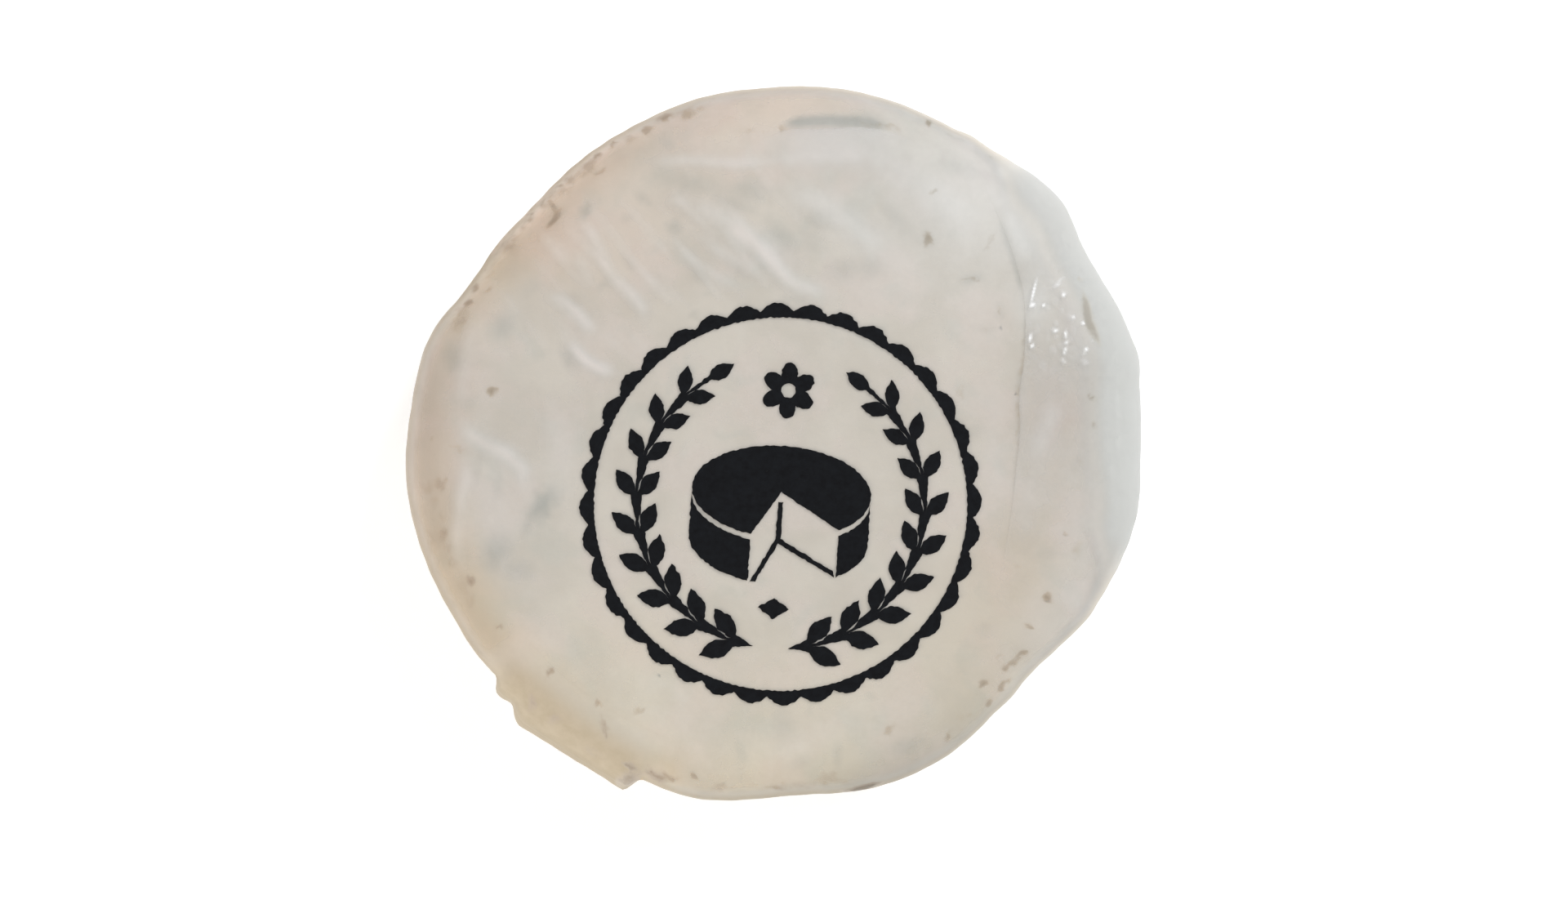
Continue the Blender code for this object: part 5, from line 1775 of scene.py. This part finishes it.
def film_material():
    """Milky film: clear where it lies tight, whiter where it stands off, painted grey over a gap for the
    shade behind it.
    """
    nodes = Nodes("milky_film")
    cloud = nodes.noise(9.0, 3.0, 0.55, 0.2)
    streak = nodes.noise(2.0, 3.0, 0.6)
    grain = nodes.noise(1.1, 4.0, 0.65)
    uneven = nodes.math("ADD", nodes.attribute("stain"), nodes.scaled(grain, 0.3, 0.7, -0.14, 0.14))
    stain = nodes.scaled(uneven, 0.17, 0.80, 0.0, 1.0, True)
    deep = nodes.scaled(uneven, 0.45, 1.00, 0.0, 1.0, True)
    # The darkest stains and the painted shade of the deepest folds
    darkest_stain_and_shade = nodes.scaled(uneven, 1.15, 1.65, 0.0, 1.0, True)
    alpha = film_alpha(nodes, cloud, streak)
    alpha = nodes.math("MAXIMUM", alpha, nodes.scaled(stain, 0.0, 1.0, 0.0, 0.50))
    alpha = nodes.math("MAXIMUM", alpha, nodes.scaled(darkest_stain_and_shade, 0.0, 1.0, 0.0, 0.90))
    tint = film_edges(nodes, film_skin(nodes, cloud), streak)
    tint = nodes.mix(stain, tint, film_stain(nodes, deep, darkest_stain_and_shade))
    nodes.shade({
        "Base Color": tint,
        "Alpha": alpha,
        "Roughness": nodes.scaled(streak, 0.3, 0.7, 0.36, 0.50),
        "Normal": nodes.bump(nodes.noise(3.0, 3.0, 0.6, 0.6), 0.06, 0.5),
        "Specular IOR Level": 0.12,
    })
    return nodes.material


def lap_material():
    """A second layer of the same film, fading where it lies down, with painted shade along its free edge
    and painted highlights on its glints.
    """
    nodes = Nodes("milky_film_lap")
    fade = nodes.attribute("fade")
    haze = nodes.attribute("haze")
    crease = nodes.attribute("crease")
    cloud = nodes.noise(4.0, 3.0, 0.6, 0.3)
    body = nodes.math("ADD", nodes.scaled(cloud, 0.3, 0.7, 0.02, 0.10), nodes.math("MULTIPLY", haze, 0.85))
    body = nodes.math("ADD", body, nodes.math("MULTIPLY", crease, 0.22))
    # The haze carries the painted highlights of the glints
    tint = nodes.varied(haze, LAP_MILK, LAP_PAINTED_GLINT, 0.0, 0.7)
    nodes.shade({
        # Painted shade along the free edge
        "Base Color": nodes.mix(crease, tint, colour(*LAP_EDGE_SHADE)),
        "Alpha": nodes.math("MULTIPLY", body, fade, clamp=True),
        "Roughness": nodes.scaled(cloud, 0.3, 0.7, 0.16, 0.34),
        "Normal": nodes.bump(nodes.noise(1.2, 3.0, 0.6, 0.5), 0.04, 0.5),
    })
    return nodes.material


def ink_material():
    """Black ink with faint wear."""
    nodes = Nodes("black_ink")
    wear = nodes.noise(1.1, 4.0, 0.7)
    spots = nodes.scaled(nodes.noise(0.5, 3.0, 0.7), 0.66, 0.80, 0.0, 0.4, True)
    base = nodes.varied(wear, *INK_BLACKS, 0.3, 0.7)
    nodes.shade({
        "Base Color": nodes.mix(spots, base, colour(*INK_WORN)),
        "Roughness": nodes.scaled(wear, 0.3, 0.7, 0.6, 0.8),
        "Normal": nodes.bump(wear, 0.01, 0.3),
        "Specular IOR Level": 0.10,
    })
    return nodes.material


def floor_material():
    """A pale lit table, bright enough to show no shadow away from the wheel."""
    nodes = Nodes("pale_floor")
    paper = nodes.noise(60.0, 3.0)
    nodes.shade({
        "Base Color": nodes.varied(paper, *FLOOR_WHITES, 0.3, 0.7),
        "Roughness": 0.9,
        "Specular IOR Level": 0.1,
        "Emission Color": colour(1.0, 1.0, 1.0),
        "Emission Strength": FLOOR_GLOW,
    })
    return nodes.material


def build_floor():
    half = FLOOR_HALF_WIDTH
    mesh = bpy.data.meshes.new("floor")
    corners = [(-half, -half, 0.0), (half, -half, 0.0), (half, half, 0.0), (-half, half, 0.0)]
    mesh.from_pydata(corners, [], [(0, 1, 2, 3)])
    mesh.materials.append(floor_material())
    floor = bpy.data.objects.new("floor", mesh)
    bpy.context.scene.collection.objects.link(floor)


def soft_light(name, place, size, watts, tint):
    light = bpy.data.lights.new(name, "AREA")
    light.shape = "DISK"
    light.size = size
    light.energy = watts
    light.color = tint
    item = bpy.data.objects.new(name, light)
    item.location = place
    aim = Vector((0.0, 0.0, 0.015)) - item.location
    item.rotation_euler = aim.to_track_quat("-Z", "Y").to_euler()
    item.visible_camera = False
    bpy.context.scene.collection.objects.link(item)


def build_lights():
    soft_light("key_upper_right", (0.62, 0.62, 0.85), 0.7, 9.6, (0.96, 0.98, 1.0))
    soft_light("fill_left", (-0.85, -0.25, 0.75), 0.9, 4.5, (1.0, 0.96, 0.90))
    soft_light("fill_low", (0.1, -0.95, 0.8), 0.9, 3.8, (1.0, 0.98, 0.94))
    world = bpy.data.worlds.new("pale_room")
    world.use_nodes = True
    sky = world.node_tree.nodes["Background"]
    sky.inputs["Color"].default_value = (0.97, 0.985, 1.0, 1.0)
    sky.inputs["Strength"].default_value = 0.40
    bpy.context.scene.world = world


def build_camera():
    camera = bpy.data.cameras.new("camera")
    camera.lens = CAMERA_LENS
    camera.sensor_width = SENSOR_WIDTH
    item = bpy.data.objects.new("camera", camera)
    item.location = (VIEW_CENTRE[0] * MM, VIEW_CENTRE[1] * MM, (WIDEST_HEIGHT + CAMERA_DISTANCE) * MM)
    bpy.context.scene.collection.objects.link(item)
    bpy.context.scene.camera = item
    bpy.context.scene.view_settings.view_transform = "Standard"


def dress(piece):
    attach(piece, "root")
    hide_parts("wrapped_wheel")


def main():
    dress(build_cheese(cheese_material()))
    dress(build_film(film_material()))
    lap = lap_material()
    dress(build_right_lap(lap))
    dress(build_top_lap(lap))
    build_seal(ink_material())
    build_floor()
    build_lights()
    build_camera()


main()
